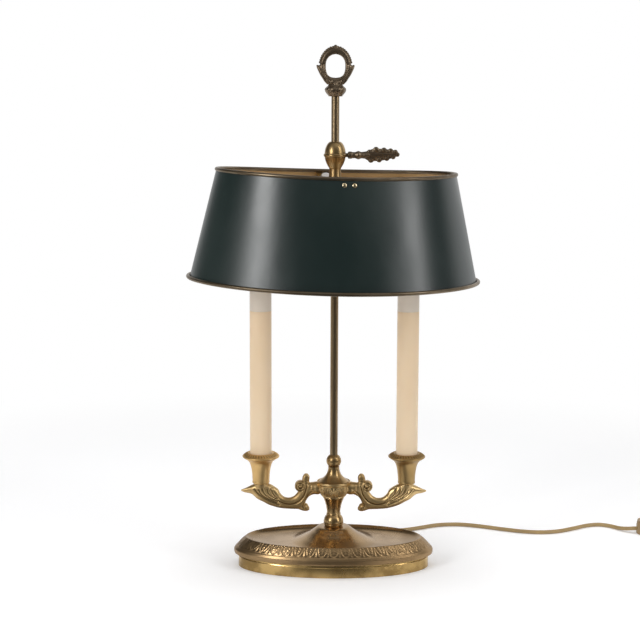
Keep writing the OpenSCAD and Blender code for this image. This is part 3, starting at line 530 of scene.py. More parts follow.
class Signal:
    """One output of a material's nodes. Operators on it add the nodes that work them out."""

    def __init__(self, recipe: "Recipe", socket: bpy.types.NodeSocket | None) -> None:
        """Wraps a socket of the recipe's tree, or nothing for a node without outputs."""
        self.recipe = recipe
        self.socket = socket

    def __add__(self, other: "Operand") -> "Signal":
        """Adds."""
        return self.recipe.combine("ADD", self, other)

    def __radd__(self, other: "Operand") -> "Signal":
        """Adds to a plain value."""
        return self.recipe.combine("ADD", other, self)

    def __sub__(self, other: "Operand") -> "Signal":
        """Subtracts."""
        return self.recipe.combine("SUBTRACT", self, other)

    def __rsub__(self, other: "Operand") -> "Signal":
        """Subtracts from a plain value."""
        return self.recipe.combine("SUBTRACT", other, self)

    def __mul__(self, other: "Operand") -> "Signal":
        """Multiplies."""
        return self.recipe.combine("MULTIPLY", self, other)

    def __rmul__(self, other: "Operand") -> "Signal":
        """Multiplies a plain value."""
        return self.recipe.combine("MULTIPLY", other, self)

    def between(self, low: float, high: float) -> "Signal":
        """Rises smoothly from 0 where the value is low to 1 where it is high."""
        sockets = {"Value": self, "From Min": low, "From Max": high}
        return self.recipe.add("ShaderNodeMapRange", {"interpolation_type": "SMOOTHSTEP"}, sockets)

    def blend(self, first: "Operand", second: "Operand") -> "Signal":
        """Mixes two colours, with this value as the share of the second."""
        sockets = {0: self, 6: first, 7: second}
        return self.recipe.add("ShaderNodeMix", {"data_type": "RGBA"}, sockets, 2)

    def part(self, axis: str) -> "Signal":
        """One coordinate of a vector: X, Y or Z."""
        return self.recipe.add("ShaderNodeSeparateXYZ", None, {0: self}, axis)


Operand = Signal | float | Sequence[float]
WHITE: Colour = (1.0, 1.0, 1.0)


class Recipe:
    """The nodes of one material or of the world."""

    def __init__(self, owner: bpy.types.Material | bpy.types.World) -> None:
        """Empties the owner's nodes.

        Args:
            owner: the material, or the world.
        """
        owner.use_nodes = True
        self.owner = owner
        self.tree = owner.node_tree
        self.tree.nodes.clear()

    def add(
        self,
        kind: str,
        settings: dict[str, object] | None = None,
        sockets: dict[str | int, Operand] | None = None,
        output: str | int = 0,
    ) -> Signal:
        """Adds any node.

        Args:
            kind: the node's type.
            settings: its own properties, set before its sockets.
            sockets: values or signals for its inputs, by name or number.
            output: name or number of the output to return.

        Returns:
            The chosen output.
        """
        node = self.tree.nodes.new(kind)
        for key, value in (settings or {}).items():
            setattr(node, key, value)
        for key, value in (sockets or {}).items():
            if isinstance(value, Signal):
                self.tree.links.new(value.socket, node.inputs[key])
            else:
                node.inputs[key].default_value = self._fit(node.inputs[key], value)
        return Signal(self, node.outputs[output] if len(node.outputs) else None)

    @staticmethod
    def _fit(socket: bpy.types.NodeSocket, value: float | Sequence[float]) -> object:
        """Fits a plain value to the kind of socket that takes it.

        Args:
            socket: the socket.
            value: a number, or the parts of a colour or a vector.

        Returns:
            What the socket's default value can be set to.
        """
        if socket.type == "RGBA":
            return (*value, 1) if hasattr(value, "__len__") else (value, value, value, 1)
        if socket.type == "VECTOR" and not hasattr(value, "__len__"):
            return (value, value, value)
        return value

    def combine(self, operation: str, first: Operand, second: Operand) -> Signal:
        """Works out first and second with the node that suits their kind.

        Args:
            operation: a Math node's operation.
            first, second: signals or plain values.

        Returns:
            The result.
        """
        kinds = {v.socket.type for v in (first, second) if isinstance(v, Signal)}
        if "RGBA" in kinds:
            settings = {"data_type": "RGBA", "blend_type": operation}
            return self.add("ShaderNodeMix", settings, {0: 1.0, 6: first, 7: second}, 2)
        if "VECTOR" in kinds:
            return self.add("ShaderNodeVectorMath", {"operation": operation}, {0: first, 1: second})
        return self.add("ShaderNodeMath", {"operation": operation}, {0: first, 1: second})

    def place(self) -> Signal:
        """The point on the piece, in metres, in the lamp's own axes."""
        return self.add("ShaderNodeTexCoord", output="Object")

    def noise(self, scale: float, detail: float = 2.0, stretch: Point = (1, 1, 1)) -> Signal:
        """Cloudy noise from 0 to 1.

        Args:
            scale: number of clouds in a metre.
            detail: number of finer layers.
            stretch: the clouds' number along each axis over scale.

        Returns:
            The noise.
        """
        spot = self.place() * list(stretch)
        sockets = {"Vector": spot, "Scale": scale, "Detail": detail}
        return self.add("ShaderNodeTexNoise", None, sockets)

    def relief(self) -> Signal:
        """The level of carving kept in the mesh: 0 in the hollows, 1 on the ridges."""
        return self.add("ShaderNodeAttribute", {"attribute_name": "relief"}, output="Fac")

    def bump(self, height: Signal, depth: float) -> Signal:
        """Normal of a surface with dents of a height from 0 to 1 and a depth in millimetres."""
        sockets = {"Strength": 1.0, "Distance": depth * MM, "Height": height}
        return self.add("ShaderNodeBump", None, sockets)

    def ray(self, kind: str) -> Signal:
        """1 for rays of a kind, such as Camera or Glossy, and 0 for the others."""
        return self.add("ShaderNodeLightPath", output=f"Is {kind} Ray")

    def seen(self) -> Signal:
        """1 for rays from the eye, in a mirror or through glass, and 0 for the others."""
        return (self.ray("Camera") + self.ray("Glossy") + self.ray("Transmission")).between(0, 1)

    def glow(self, level: float) -> Signal:
        """A shader that gives off white light of a level."""
        return self.add("ShaderNodeEmission", None, {"Color": (level,) * 3, "Strength": 1.0})

    def close(self, kind: str, surface: Signal) -> None:
        """Ends the nodes with an output of a kind, Material or World."""
        self.add(f"ShaderNodeOutput{kind}", None, {"Surface": surface})


# ---------------------------------------------------------------- finishes


@dataclass(frozen=True)
class Finish:
    """A finish of a surface. Each kind says what its shader takes."""

    name: str

    def sockets(self, r: Recipe) -> dict[str, Operand]:
        """Inputs of the Principled shader."""
        raise NotImplementedError

    def material(self) -> bpy.types.Material:
        """Builds the material.

        Returns:
            The material, named after the finish.
        """
        r = Recipe(bpy.data.materials.new(self.name))
        r.close("Material", r.add("ShaderNodeBsdfPrincipled", None, self.sockets(r)))
        return r.owner


@dataclass(frozen=True)
class Brass(Finish):
    """Old brass under worn lacquer.

    tone is the metal where it was rubbed and tarnish where it was not. carved says that the
    mesh keeps its relief, whose hollows hold the dirt. The side darkening is how much darker
    one half of the lamp is painted, and side is that half: -1 left, 1 right. On the base and
    foot it is painted shade over the left half; on the right cup it makes the cup darker
    towards its right.
    """

    tone: Colour
    tarnish: Colour
    roughness: float = 0.3
    clouds: float = 18.0
    dent: float = 0.006
    carved: bool = False
    side_darkening: float = 0.0
    side: float = -1.0
    # Levels of the clouds between which tarnish sets in, and the most of it that shows
    worn: Spot = (0.34, 0.68)
    most: float = 0.8
    # Number of fine specks and of dents in a metre, and the specks' share of the clouds
    specks: float = 260.0
    dents: float = 320.0
    speckle: float = 0.07
    # How much rougher tarnish and specks make it
    tarnish_rough: float = 0.12
    speck_rough: float = 0.03
    # Levels of carving that hold dirt, the most of it, and how bright it is beside tarnish
    hollow: Spot = (0.0, 0.5)
    dirt: float = 0.75
    dirt_tone: float = 0.25
    # Levels of carving that are rougher, and how much
    ridge: Spot = (0.55, 0.72)
    ridge_rough: float = 0.15
    # Distance out from the middle between which the side darkening sets in: painted shade on the
    # base and foot, a darker right side on the right cup
    darkened: Spot = (0.02, 0.09)

    def sockets(self, r: Recipe) -> dict[str, Operand]:
        """Clouds of tarnish, dirt in the hollows and fine dents.

        Args:
            r: the material's nodes.

        Returns:
            Inputs of the Principled shader.
        """
        fine = r.noise(self.specks, 3)
        clouds = (1 - self.speckle) * r.noise(self.clouds, 3)
        share = (clouds + self.speckle * fine).between(*self.worn)
        colour = (share * self.most).blend(self.tone, self.tarnish)
        rough = self.roughness + self.tarnish_rough * share + self.speck_rough * fine
        if self.carved:
            dirt = self.dirt * (1 - r.relief().between(*self.hollow))
            colour = dirt.blend(colour, [v * self.dirt_tone for v in self.tarnish])
            rough = rough + self.ridge_rough * r.relief().between(*self.ridge)
        # Painted shade over the left half of the base and foot, blended towards black; the right
        # cup is darkened towards its right the same way
        if self.side_darkening:
            darkened = (r.place().part("X") * self.side).between(*self.darkened)
            colour = (darkened * self.side_darkening).blend(colour, (0.0, 0.0, 0.0))
        return {
            "Base Color": colour,
            "Metallic": 1.0,
            "Roughness": rough,
            "Normal": r.bump(r.noise(self.dents, 2), self.dent),
        }


@dataclass(frozen=True)
class ShadePaint(Finish):
    """Semi-gloss oil paint on sheet metal, with faint brush and age marks."""

    name: str = "shade_paint"
    tone: Colour = srgb(7, 28, 26)
    rubbed: Colour = srgb(12, 33, 30)
    roughness: float = 0.26
    # Number of clouds, grains and waves in a metre, and the waves' depth in millimetres
    clouds: float = 14.0
    grain: float = 700.0
    waves: float = 90.0
    wave: float = 0.06
    # Levels of the clouds between which the paint is rubbed
    worn: Spot = (0.35, 0.7)

    def sockets(self, r: Recipe) -> dict[str, Operand]:
        """Upright clouds, a fine grain in the gloss and the sheet's slow waves.

        Args:
            r: the material's nodes.

        Returns:
            Inputs of the Principled shader.
        """
        clouds = r.noise(self.clouds, 3, (1, 1, 0.5)).between(*self.worn)
        return {
            "Base Color": clouds.blend(self.tone, self.rubbed),
            "Roughness": self.roughness + 0.1 * clouds + 0.06 * r.noise(self.grain, 2),
            "IOR": 1.7,
            "Normal": r.bump(r.noise(self.waves, 3), self.wave),
        }


@dataclass(frozen=True)
class Ivory(Finish):
    """Cream moulded sleeve with a waxy depth, a little darker where hands touch it."""

    tone: Colour
    darkened: Colour
    roughness: float = 0.42
    depth: float = 0.15
    # How far red, green and blue light goes in, in millimetres
    reach: Point = (3.0, 2.0, 1.2)
    # Number of clouds and dents in a metre, and the dents' depth in millimetres
    clouds: float = 22.0
    dents: float = 300.0
    dent: float = 0.03
    # Levels of the clouds between which the sleeve is darker
    worn: Spot = (0.3, 0.75)

    def sockets(self, r: Recipe) -> dict[str, Operand]:
        """Upright clouds over a surface that lets some light in.

        Args:
            r: the material's nodes.

        Returns:
            Inputs of the Principled shader.
        """
        clouds = r.noise(self.clouds, 3, (1, 1, 0.4)).between(*self.worn)
        return {
            "Base Color": clouds.blend(self.tone, self.darkened),
            "Roughness": self.roughness + 0.1 * clouds,
            "Subsurface Weight": self.depth,
            "Subsurface Radius": [v * MM for v in self.reach],
            "Subsurface Scale": 1.0,
            "Normal": r.bump(r.noise(self.dents, 3), self.dent),
        }


@dataclass(frozen=True)
class Moulded(Finish):
    """Plain moulded plastic, glass or paper: one tone with faint clouds and a fine grain."""

    tone: Colour
    roughness: float = 0.4
    spread: float = 0.12
    grain: float = 500.0
    dent: float = 0.02
    metallic: float = 0.0
    # Number of clouds in a metre, and their levels between which the tone changes
    clouds: float = 40.0
    worn: Spot = (0.3, 0.7)

    def sockets(self, r: Recipe) -> dict[str, Operand]:
        """Clouds of a slightly darker tone, and one grain for both gloss and dents.

        Args:
            r: the material's nodes.

        Returns:
            Inputs of the Principled shader.
        """
        grain = r.noise(self.grain, 2)
        low = [v * (1 - self.spread) for v in self.tone]
        return {
            "Base Color": r.noise(self.clouds, 3).between(*self.worn).blend(self.tone, low),
            "Metallic": self.metallic,
            "Roughness": self.roughness + 0.1 * grain,
            "Normal": r.bump(grain, self.dent),
        }


class Metal(Enum):
    """The lamp's kinds of brass."""

    # The side darkening paints shade over the left half of the base and foot, and darkens the right
    # cup towards its right
    BASE = Brass(
        "base_brass", srgb(180, 150, 110), srgb(146, 120, 86), 0.21, carved=True, side_darkening=0.22
    )
    FOOT = Brass(
        "foot_brass", srgb(208, 176, 116), srgb(128, 102, 60), 0.17, clouds=42, side_darkening=0.08
    )
    STEM = Brass("stem_brass", srgb(182, 152, 106), srgb(142, 116, 77), 0.24, carved=True)
    ROD = Brass("rod_brass", srgb(160, 140, 110), srgb(134, 114, 86), 0.26, clouds=16)
    CAST = Brass(
        "cast_brass", srgb(214, 184, 132), srgb(172, 142, 96), 0.28, dent=0.03, carved=True
    )
    CUP = Brass(
        "cup_brass", srgb(226, 190, 130), srgb(200, 164, 106), 0.36,
        dent=0.03, carved=True, side_darkening=0.38, side=1.0,
    )
    DARK = Brass("dark_brass", srgb(134, 118, 98), srgb(98, 84, 68), 0.36, clouds=60, dent=0.03)
    CLAMP = Brass("clamp_brass", srgb(186, 158, 112), srgb(150, 124, 84), 0.25)
    RIM = Brass("rim_brass", srgb(130, 116, 96), srgb(100, 86, 68), 0.32, clouds=30)
    STRIP = Brass("strip_brass", srgb(180, 154, 108), srgb(140, 116, 78), 0.32)
    SCREW = Brass("strip_brass_bright", srgb(232, 216, 180), srgb(206, 186, 146), 0.2)
    LINING = Brass("lining_brass", srgb(214, 184, 140), srgb(188, 158, 114), 0.42, clouds=12)
    THREAD = Brass("threaded_brass", srgb(190, 162, 108), srgb(150, 124, 78), 0.34)


class Other(Enum):
    """The lamp's finishes that are not brass."""

    PAINT = ShadePaint()
    SLEEVE = Ivory("sleeve_ivory", srgb(230, 206, 174), srgb(222, 196, 162))
    HOLDER = Ivory("holder_white", srgb(218, 208, 194), srgb(204, 194, 180), depth=0.05)
    OPAL = Moulded("opal_glass", srgb(244, 240, 230), 0.3, 0.03)
    PLATED = Moulded("plated_metal", srgb(200, 198, 190), 0.3, 0.1, metallic=1.0)
    IRON = Moulded("iron", srgb(92, 92, 96), 0.6, 0.3, 180, 0.1, metallic=0.9)
    FELT = Moulded("felt", srgb(46, 66, 50), 0.95, 0.25, 900, 0.3)
    CONNECTOR = Moulded("connector_plastic", srgb(226, 222, 208), 0.45)
    BUSH = Moulded("bush_plastic", srgb(70, 56, 42), 0.5)
    CORD = Moulded("cord_gold", srgb(164, 138, 92), 0.38, 0.14, 300, 0.03)
    FITTING = Moulded("cord_fitting", srgb(150, 124, 84), 0.36, 0.08, 400, 0.02)
    ROCKER = Moulded("rocker_brown", srgb(84, 64, 44), 0.35, 0.08)
    PAPER = Moulded("paper_white", srgb(250, 251, 252), 0.6, 0.02)


@cache
def material_of(finish: Enum) -> bpy.types.Material:
    """The material of a finish, built the first time it is asked for."""
    return finish.value.material()


def put_on(
    piece: bpy.types.Object,
    body: str,
    finish: Enum | Sequence[Enum],
    nodes: Sequence[str] = (),
) -> bpy.types.Object:
    """Gives a new piece its materials and says what it rides on and stands for.

    Args:
        piece: the new object.
        body: the body that it moves with.
        finish: one finish, or one for each of the piece's material slots.
        nodes: the solids that it replaces.

    Returns:
        The piece.
    """
    for one in finish if isinstance(finish, (list, tuple)) else [finish]:
        piece.data.materials.append(material_of(one))
    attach(piece, body)
    if nodes:
        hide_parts(*nodes)
    log.info("made %s on %s with %d points", piece.name, body, len(piece.data.vertices))
    return piece


def dress(frame: dict, finish: Enum, *nodes: str) -> None:
    """Gives solids of the frame a finish.

    Args:
        frame: the loaded frame.
        finish: the finish.
        nodes: the solids' names.
    """
    for name in nodes:
        solid = frame["nodes"][name]
        if not solid.material_slots:
            solid.data.materials.append(None)
        for spot in solid.material_slots:
            spot.material = material_of(finish)
        log.info("dressed %s in %s", name, finish.value.name)


# ---------------------------------------------------------------- studio


@dataclass
class Studio:
    """Camera, lamps, sky and floor."""

    focal_px: float = 1550.0
    tilt: float = 8.4
    roll: float = 0.18
    eye: Point = (-16.5, -1755.0, 548.0)
    # Brightness of the dim room, of the sky as a lamp, and of the ceiling in a mirror
    room: float = 0.1
    sky: float = 0.45
    ceiling: float = 0.65
    # Part of a mirrored direction's Y that shows the backdrop, and how much of its X counts
    backdrop: Spot = (0.6, 0.92)
    backdrop_right: float = 0.55
    # Z, Y and X of a mirrored direction between which the ceiling comes and goes, and what
    # is left of it on the left
    overhead: Spot = (0.5, 0.75)
    behind: Spot = (-0.15, 0.15)
    rightward: Spot = (-0.4, 0.3)
    left_share: float = 0.35
    paper: Colour = srgb(246, 246, 247)
    floor_radii: tuple[float, ...] = (1, 400, 900, 2000, 30000)
    floor_drop: float = 0.2
    floor_lift: float = 0.135
    # Distance in metres at which the floor turns into the backdrop
    clear_floor: Spot = (0.55, 1.1)
    # Y in metres at which a mirror stops to show the paper, and the lit wedge that goes on
    front: Spot = (-0.1, -0.04)
    wedge: Spot = (-0.3, -0.2)
    wedge_sides: Spot = (0.0028, 0.0062)
    # Lamps above this height, in metres, aren't mirrored
    fill_height: float = 2.0
    aim: Point = (0.0, 0.0, 0.3)
    boxes: tuple[tuple[Point, Spot, float], ...] = (
        ((-1.34, -1.34, 0.92), (0.4, 1.0), 14.2),
        ((1.66, -0.92, 1.12), (0.4, 1.6), 11.0),
        ((0.0, 0.1, 2.4), (1.6, 1.2), 22.0),
    )

    def camera(self) -> None:
        """Sets up the camera at the eye, looking along +Y and a little down."""
        lens = bpy.data.cameras.new("eye")
        lens.sensor_width = 36
        lens.sensor_fit = "HORIZONTAL"
        lens.lens = self.focal_px / FRAME_PX * lens.sensor_width
        lens.clip_end = 100
        eye = placed("eye", lens)
        eye.matrix_world = (
            Matrix.Translation(Vector(self.eye) * MM)
            @ Matrix.Rotation(math.radians(90 - self.tilt), 4, "X")
            @ Matrix.Rotation(math.radians(self.roll), 4, "Z")
        )
        bpy.context.scene.camera = eye
        bpy.context.scene.view_settings.view_transform = "Standard"

    def lights(self) -> None:
        """Hangs the soft boxes, each turned to the middle of the lamp."""
        for number, (spot, size, power) in enumerate(self.boxes):
            box = bpy.data.lights.new(f"soft_box_{number}", "AREA")
            box.shape = "RECTANGLE"
            box.size, box.size_y = size
            box.energy = power
            lamp = placed(box.name, box)
            lamp.visible_glossy = spot[2] < self.fill_height
            turn = (Vector(self.aim) - Vector(spot)).to_track_quat("-Z", "Y")
            lamp.matrix_world = Matrix.Translation(spot) @ turn.to_matrix().to_4x4()

    def surroundings(self) -> None:
        """A white backdrop for the eye and behind mirrored directions, and a dim room before it."""
        world = bpy.data.worlds.new("room")
        bpy.context.scene.world = world
        r = Recipe(world)
        way = r.add("ShaderNodeTexCoord", output="Generated")
        x, y, z = (way.part(axis) for axis in "XYZ")
        paper = (y + self.backdrop_right * x.between(0, 1)).between(*self.backdrop)
        above = z.between(*self.overhead) * (1 - y.between(*self.behind))
        above = above * (self.left_share + (1 - self.left_share) * x.between(*self.rightward))
        dim = above.blend((self.room,) * 3, (self.ceiling,) * 3)
        shown = r.ray("Camera").blend(paper.blend(dim, WHITE), WHITE)
        colour = r.seen().blend((self.sky,) * 3, shown)
        r.close("World", r.add("ShaderNodeBackground", None, {"Color": colour, "Strength": 1.0}))

    def floor(self) -> None:
        """A wide white floor that keeps the lamp's shadow and runs into the backdrop."""
        disc = turned([(radius, -self.floor_drop) for radius in self.floor_radii], 64)
        floor = Shape("floor").sheet(disc).piece()
        r = Recipe(bpy.data.materials.new("floor_paper"))
        spot = r.place()
        way = r.add("ShaderNodeVectorMath", {"operation": "LENGTH"}, {0: spot}, "Value")
        clear = way.between(*self.clear_floor)
        paper = r.add("ShaderNodeBsdfDiffuse", None, {"Color": self.paper})
        paper = r.add("ShaderNodeAddShader", None, {0: paper, 1: r.glow(self.floor_lift)})
        near = r.add("ShaderNodeMixShader", None, {0: clear * r.seen(), 1: paper, 2: r.glow(1.0)})
        # In front of the lamp the paper ends, so a mirror there shows the dim room
        ahead, aside = spot.part("Y"), spot.part("X")
        lit = (aside * aside).between(*self.wedge_sides) * ahead.between(*self.wedge)
        dark = (1 - ahead.between(*self.front)) * (1 - lit) * r.ray("Glossy")
        whole = r.add("ShaderNodeMixShader", None, {0: dark, 1: near, 2: r.glow(self.room)})
        r.close("Material", whole)
        floor.data.materials.append(r.owner)

    def build(self) -> None:
        """Sets up everything around the lamp."""
        self.camera()
        self.lights()
        self.surroundings()
        self.floor()
        log.info("studio is set")


# ---------------------------------------------------------------- cord


@dataclass
class Cord:
    """The mains cord: from the base to the switch, and on to the coil and the plug."""

    frame: dict
    diameter: float = 4.8
    lead: tuple[Point, ...] = (
        (0, 52, 8), (0, 64, 8), (0, 76, 8), (1, 85, 7.2), (4, 94, 4.8), (10, 105, 2.8),
        (20, 115, 2.4), (36, 124, 2.4), (60, 130, 2.4), (89, 135, 2.4), (112, 146, 2.4),
        (131, 157, 2.4), (150, 161, 2.4), (168, 160, 2.4), (190, 152, 2.4), (215, 140, 2.4),
        (240, 130, 2.4), (262, 127, 2.4), (284, 132, 2.4), (305, 145, 2.4), (324, 158, 2.4),
        (340, 162, 2.4), (353, 156, 2.4), (363, 145, 2.8), (371, 136.6, 4.6), (378, 133.2, 5.9),
        (382, 133, 6),
    )
    tail: tuple[Point, ...] = (
        (444, 133, 6), (447.6, 132.9, 5.9), (453, 132, 4.4), (460, 130.4, 2.6), (470, 129.4, 2.4),
        (482, 129, 2.4), (495, 128.8, 2.4), (508, 128.7, 2.4),
    )
    end: tuple[Point, ...] = ((508, 191.2, 7.2), (497, 191.4, 7), (486, 191.6, 6.8))
    coil: Spot = (516.0, 160.0)
    # Radius and height of each turn of the coil, the last one half a turn
    turns: tuple[Spot, ...] = (
        (31.3, 2.4), (26.5, 2.4), (21.7, 2.4), (21.7, 7.2),
        (21.7, 12.0), (26.5, 12.0), (26.5, 7.2), (31.3, 7.2),
    )
    per_turn: int = 36
    # Part of a turn after which the cord starts to cross to the next one
    crossing: float = 0.72
    relief_end: float = 77.4
    # Middle and half size of the tie's loop, out from the coil's middle and up, its half
    # width and its thickness
    tie_middle: Spot = (26.5, 7.3)
    tie_half: Spot = (8.1, 7.2)
    tie_side: float = 2.2
    tie_t: float = 0.5

    def coil_path(self) -> np.ndarray:
        """Winds the coil, from its lowest outer turn up and back out again.

        Returns:
            The centreline's points, one per row.
        """
        out = []
        for start, end in zip(self.turns, [*self.turns[1:], None]):
            (r0, z0), (r1, z1) = start, end or start
            for i in range(self.per_turn if end else self.per_turn // 2 + 1):
                turn = i / self.per_turn
                over = float(ease(self.crossing, 1.0, turn))
                r, z = r0 + (r1 - r0) * over, z0 + (z1 - z0) * over
                q = math.radians(270 + 360 * turn)
                out.append((self.coil[0] + r * math.cos(q), self.coil[1] + r * math.sin(q), z))
        return np.array(out)

    def tube(self, name: str, path: np.ndarray) -> bpy.types.Object:
        """A round cord along a path, closed at both ends."""
        return Shape(name).tube(swept(path, np.full(len(path), self.diameter / 2))).piece()

    def build(self) -> None:
        """Lays both stretches of the cord and dresses what is on them."""
        dress(self.frame, Other.FITTING, "switch_bottom", "switch_top", "plug_body")
        dress(self.frame, Other.ROCKER, "switch_rocker")
        dress(self.frame, Other.PLATED, "rocker_pin", "plug_pins")
        lead = through(self.lead, 6)
        piece = put_on(self.tube("lead", lead), "stand", Other.CORD, ["cord_lead"])
        coil = self.coil_path()
        tail = through([*self.tail, tuple(coil[0])], 6)[:-1]
        path = np.concatenate([tail, coil, through(self.end, 6)])
        rest = self.tube("supply", path)
        put_on(rest, "stand", Other.CORD, ["cord_tail", "cord_coil", "cord_end"])
        tie = self.tie()

    def tie(self) -> bpy.types.Object:
        """Bends a wire tie round the coil's turns.

        Returns:
            The piece.
        """
        q = np.linspace(0, 2 * math.pi, 48, endpoint=False)
        turn = np.stack([np.cos(q), 0 * q, np.sin(q)], axis=1)
        middle = np.array([self.coil[0] + self.tie_middle[0], self.coil[1], self.tie_middle[1]])
        loop = middle + fuller(turn, 0.45) * np.array([self.tie_half[0], 0, self.tie_half[1]])
        side, t = np.array([0, self.tie_side, 0]), self.tie_t
        corners = (loop - side, loop - side + t * turn, loop + side + t * turn, loop + side)
        grid = np.stack(corners, axis=1)
        grid[:, :, 2] = np.maximum(grid[:, :, 2], 0.02)
        piece = Shape("coil_tie").sheet(grid, close_v=True).piece()
        return put_on(piece, "stand", Other.BUSH)


# ---------------------------------------------------------------- base


@dataclass
class Base:
    """Oval cast base with a dish, a bell in its middle and a band of leaves."""

    frame: dict
    squash: float = 115 / 232
    leaves: int = 38
    columns: int = 20
    bore: float = 5.2
    lip: float = 100.4
    # Radius of the oval on which the columns stand evenly
    even_r: float = 106.0
    # Radius and height along the bell, from its top, and along the dish up to the lip
    bell_line: tuple[Spot, ...] = (
        (0, 46.5), (12.5, 46.5), (14.6, 46.45), (17.4, 46.1), (20, 44.6), (22.5, 42.3),
        (25.5, 40.2), (28.4, 38), (32.5, 35.6), (37, 33.5), (42, 31.3), (47, 29.4), (52, 27.5),
    )
    dish_line: tuple[Spot, ...] = (
        (0, 29), (60, 29), (72, 29.05), (80, 29.2), (88, 29.8), (94, 30.8), (97, 31.8),
        (99.2, 33.2), (100.4, 33.9),
    )
    # Size of the soft corner between bell and dish, and the radii between which it grows
    corner: float = 0.8
    corner_from: Spot = (14.0, 24.0)
    wall: float = 2.2
    relief_h: float = 0.5
    # Levels of carving: the ground between the leaves, and the rough metal below the band
    ground: float = 0.34
    below: float = 0.66

    def bell(self, r: np.ndarray) -> np.ndarray:
        """Height of the bell at a radius."""
        return np.interp(r, *arc_even(through(self.bell_line, 8), 200).T)

    def dish(self, r: np.ndarray) -> np.ndarray:
        """Height of the dish at a radius along its long axis."""
        return np.interp(r, *through(self.dish_line, 6).T)

    def leaf(self, s: np.ndarray, t: np.ndarray) -> np.ndarray:
        """Relief of one leaf of the band.

        Args:
            s: place across the leaf, from -0.5 to 0.5.
            t: place down the band, from 0 at the lip to 1.

        Returns:
            The relief, from 0 to 1.
        """
        far = np.abs(s)
        half = 0.37 * np.sqrt(np.clip(1 - ((np.clip(t, 0, 1) - 0.08) / 0.84) ** 2, 0, 1))
        inside = ease(0.0, 0.06, half - far)
        rise = 0.9 * bump_at(far, half, 0.06) * (t < 0.94)
        rise = np.maximum(rise, 0.65 * bump_at(s, 0, 0.045) * (t < 0.72))
        veins = 0.4 * bump_at((3.4 * t - 3.8 * far) % 1, 0.5, 0.34)
        rise = np.maximum(rise, veins * inside * (t > 0.12))
        rise = np.maximum(rise, 0.7 * bump_at(far, 0.5, 0.06) * (t > 0.2))
        rise *= ease(-0.02, 0.1, t) * (1 - ease(0.9, 1.0, t))
        drop = np.maximum(
            bump_at(np.hypot(s / 0.14, (t - 0.88) / 0.12), 0, 1),
            0.75 * bump_at(np.hypot((far - 0.5) / 0.09, (t - 0.82) / 0.1), 0, 1),
        )
        return np.maximum(rise, drop)

    def angles(self) -> np.ndarray:
        """Spaces the columns at even distances round the oval.

        Returns:
            Their angles, as a column.
        """
        q = np.linspace(0, 2 * math.pi, 4000)
        oval = np.stack([self.even_r * np.cos(q), self.even_r * self.squash * np.sin(q)], axis=1)
        run = run_of(oval)
        marks = np.linspace(0, run[-1], self.leaves * self.columns, endpoint=False)
        return np.interp(marks, run, q)[:, None]

    def top(self, q: np.ndarray) -> np.ndarray:
        """Draws bell and dish as ovals that grow from the round bore to the lip.

        Args:
            q: the columns' angles.

        Returns:
            A grid from the bore outwards.
        """
        long_r = np.concatenate([np.linspace(self.bore, 50, 30), np.linspace(52, self.lip, 42)])
        lip_y = self.lip * self.squash
        short_r = self.bore + (long_r - self.bore) * (lip_y - self.bore) / (self.lip - self.bore)
        x, y = long_r[None, :] * np.cos(q), short_r[None, :] * np.sin(q)
        r = np.hypot(x, y)
        bell, dish = self.bell(r), self.dish(np.hypot(x, y / self.squash))
        soft = self.corner * np.exp(-np.abs(bell - dish) / self.corner) * 0.5
        soft *= ease(*self.corner_from, r)
        return np.stack([x, y, np.maximum(bell, dish) + soft], axis=2)

    def casting(self) -> bpy.types.Object:
        """Makes the cast base, with its relief modelled.

        Returns:
            The piece.
        """
        q = self.angles()
        inner = self.top(q)
        # Lip, band, cove, bead, and the open underside: ovals of one proportion
        lip = bezier((self.lip, 33.9), (100.9, 34.2), (101.6, 34.3), (102.3, 33.8), 6)[1:]
        band = bezier((102.3, 33.8), (105.2, 32.2), (109.4, 28.2), (112.3, 24.4), 30)[1:]
        profile = lip + band + [
            (112.5, 23.9), (112.8, 23.6), (113.3, 23.4), (113.9, 22.9), (114.6, 22.0),
        ]
        profile += bezier((115.0, 21.4), (116.1, 20.6), (116.1, 19.4), (116.0, 18.2), 6)
        profile += [
            (116.0, 16.6), (115.6, 15.4), (115.0, 15.0), (108.2, 15.0), (107.8, 15.6), (104, 25),
            (101, 27), (70, 26.9), (48, 26.9),
        ]
        r, z = np.array(profile).T
        outer = np.stack([r * np.cos(q), r * self.squash * np.sin(q), z + 0 * q], axis=2)
        r = np.array([44, 36, 28, 21, 15, self.bore])
        under = np.stack([r * np.cos(q), r * np.sin(q), self.bell(r) - self.wall + 0 * q], axis=2)
        under[:, 0, :2] *= 0.98
        grid = np.concatenate([inner, outer, under], axis=1)
        first = inner.shape[1] + len(lip)
        s, t = motif_place(grid.shape[1], first, len(band) - 1, len(q), self.columns)
        carved = self.leaf(s, t) * ((t > -0.1) & (t < 1.02))
        leaves = self.ground + (1 - self.ground) * carved
        level = np.where(t >= 1, self.below, np.where(t > 0.02, leaves, PLAIN))
        grid = raised(grid, self.relief_h * carved)
        return Shape("base_casting").sheet(grid, close_v=True, relief=level).piece(CARVED)

    def build(self) -> None:
        """Makes the casting and dresses the parts in and under it."""
        put_on(self.casting(), "stand", Metal.BASE, ["base_shell"])
        dress(self.frame, Metal.FOOT, "foot_ring")
        dress(self.frame, Other.IRON, "base_weight")
        dress(self.frame, Metal.THREAD, "base_washer", "base_nut", "centre_tube")
        dress(self.frame, Other.FELT, "felt_pad")
        dress(self.frame, Other.CONNECTOR, "terminal_block")
        dress(self.frame, Other.CORD, "inner_lead")
        dress(self.frame, Other.BUSH, "cable_bush")


# ---------------------------------------------------------------- stem


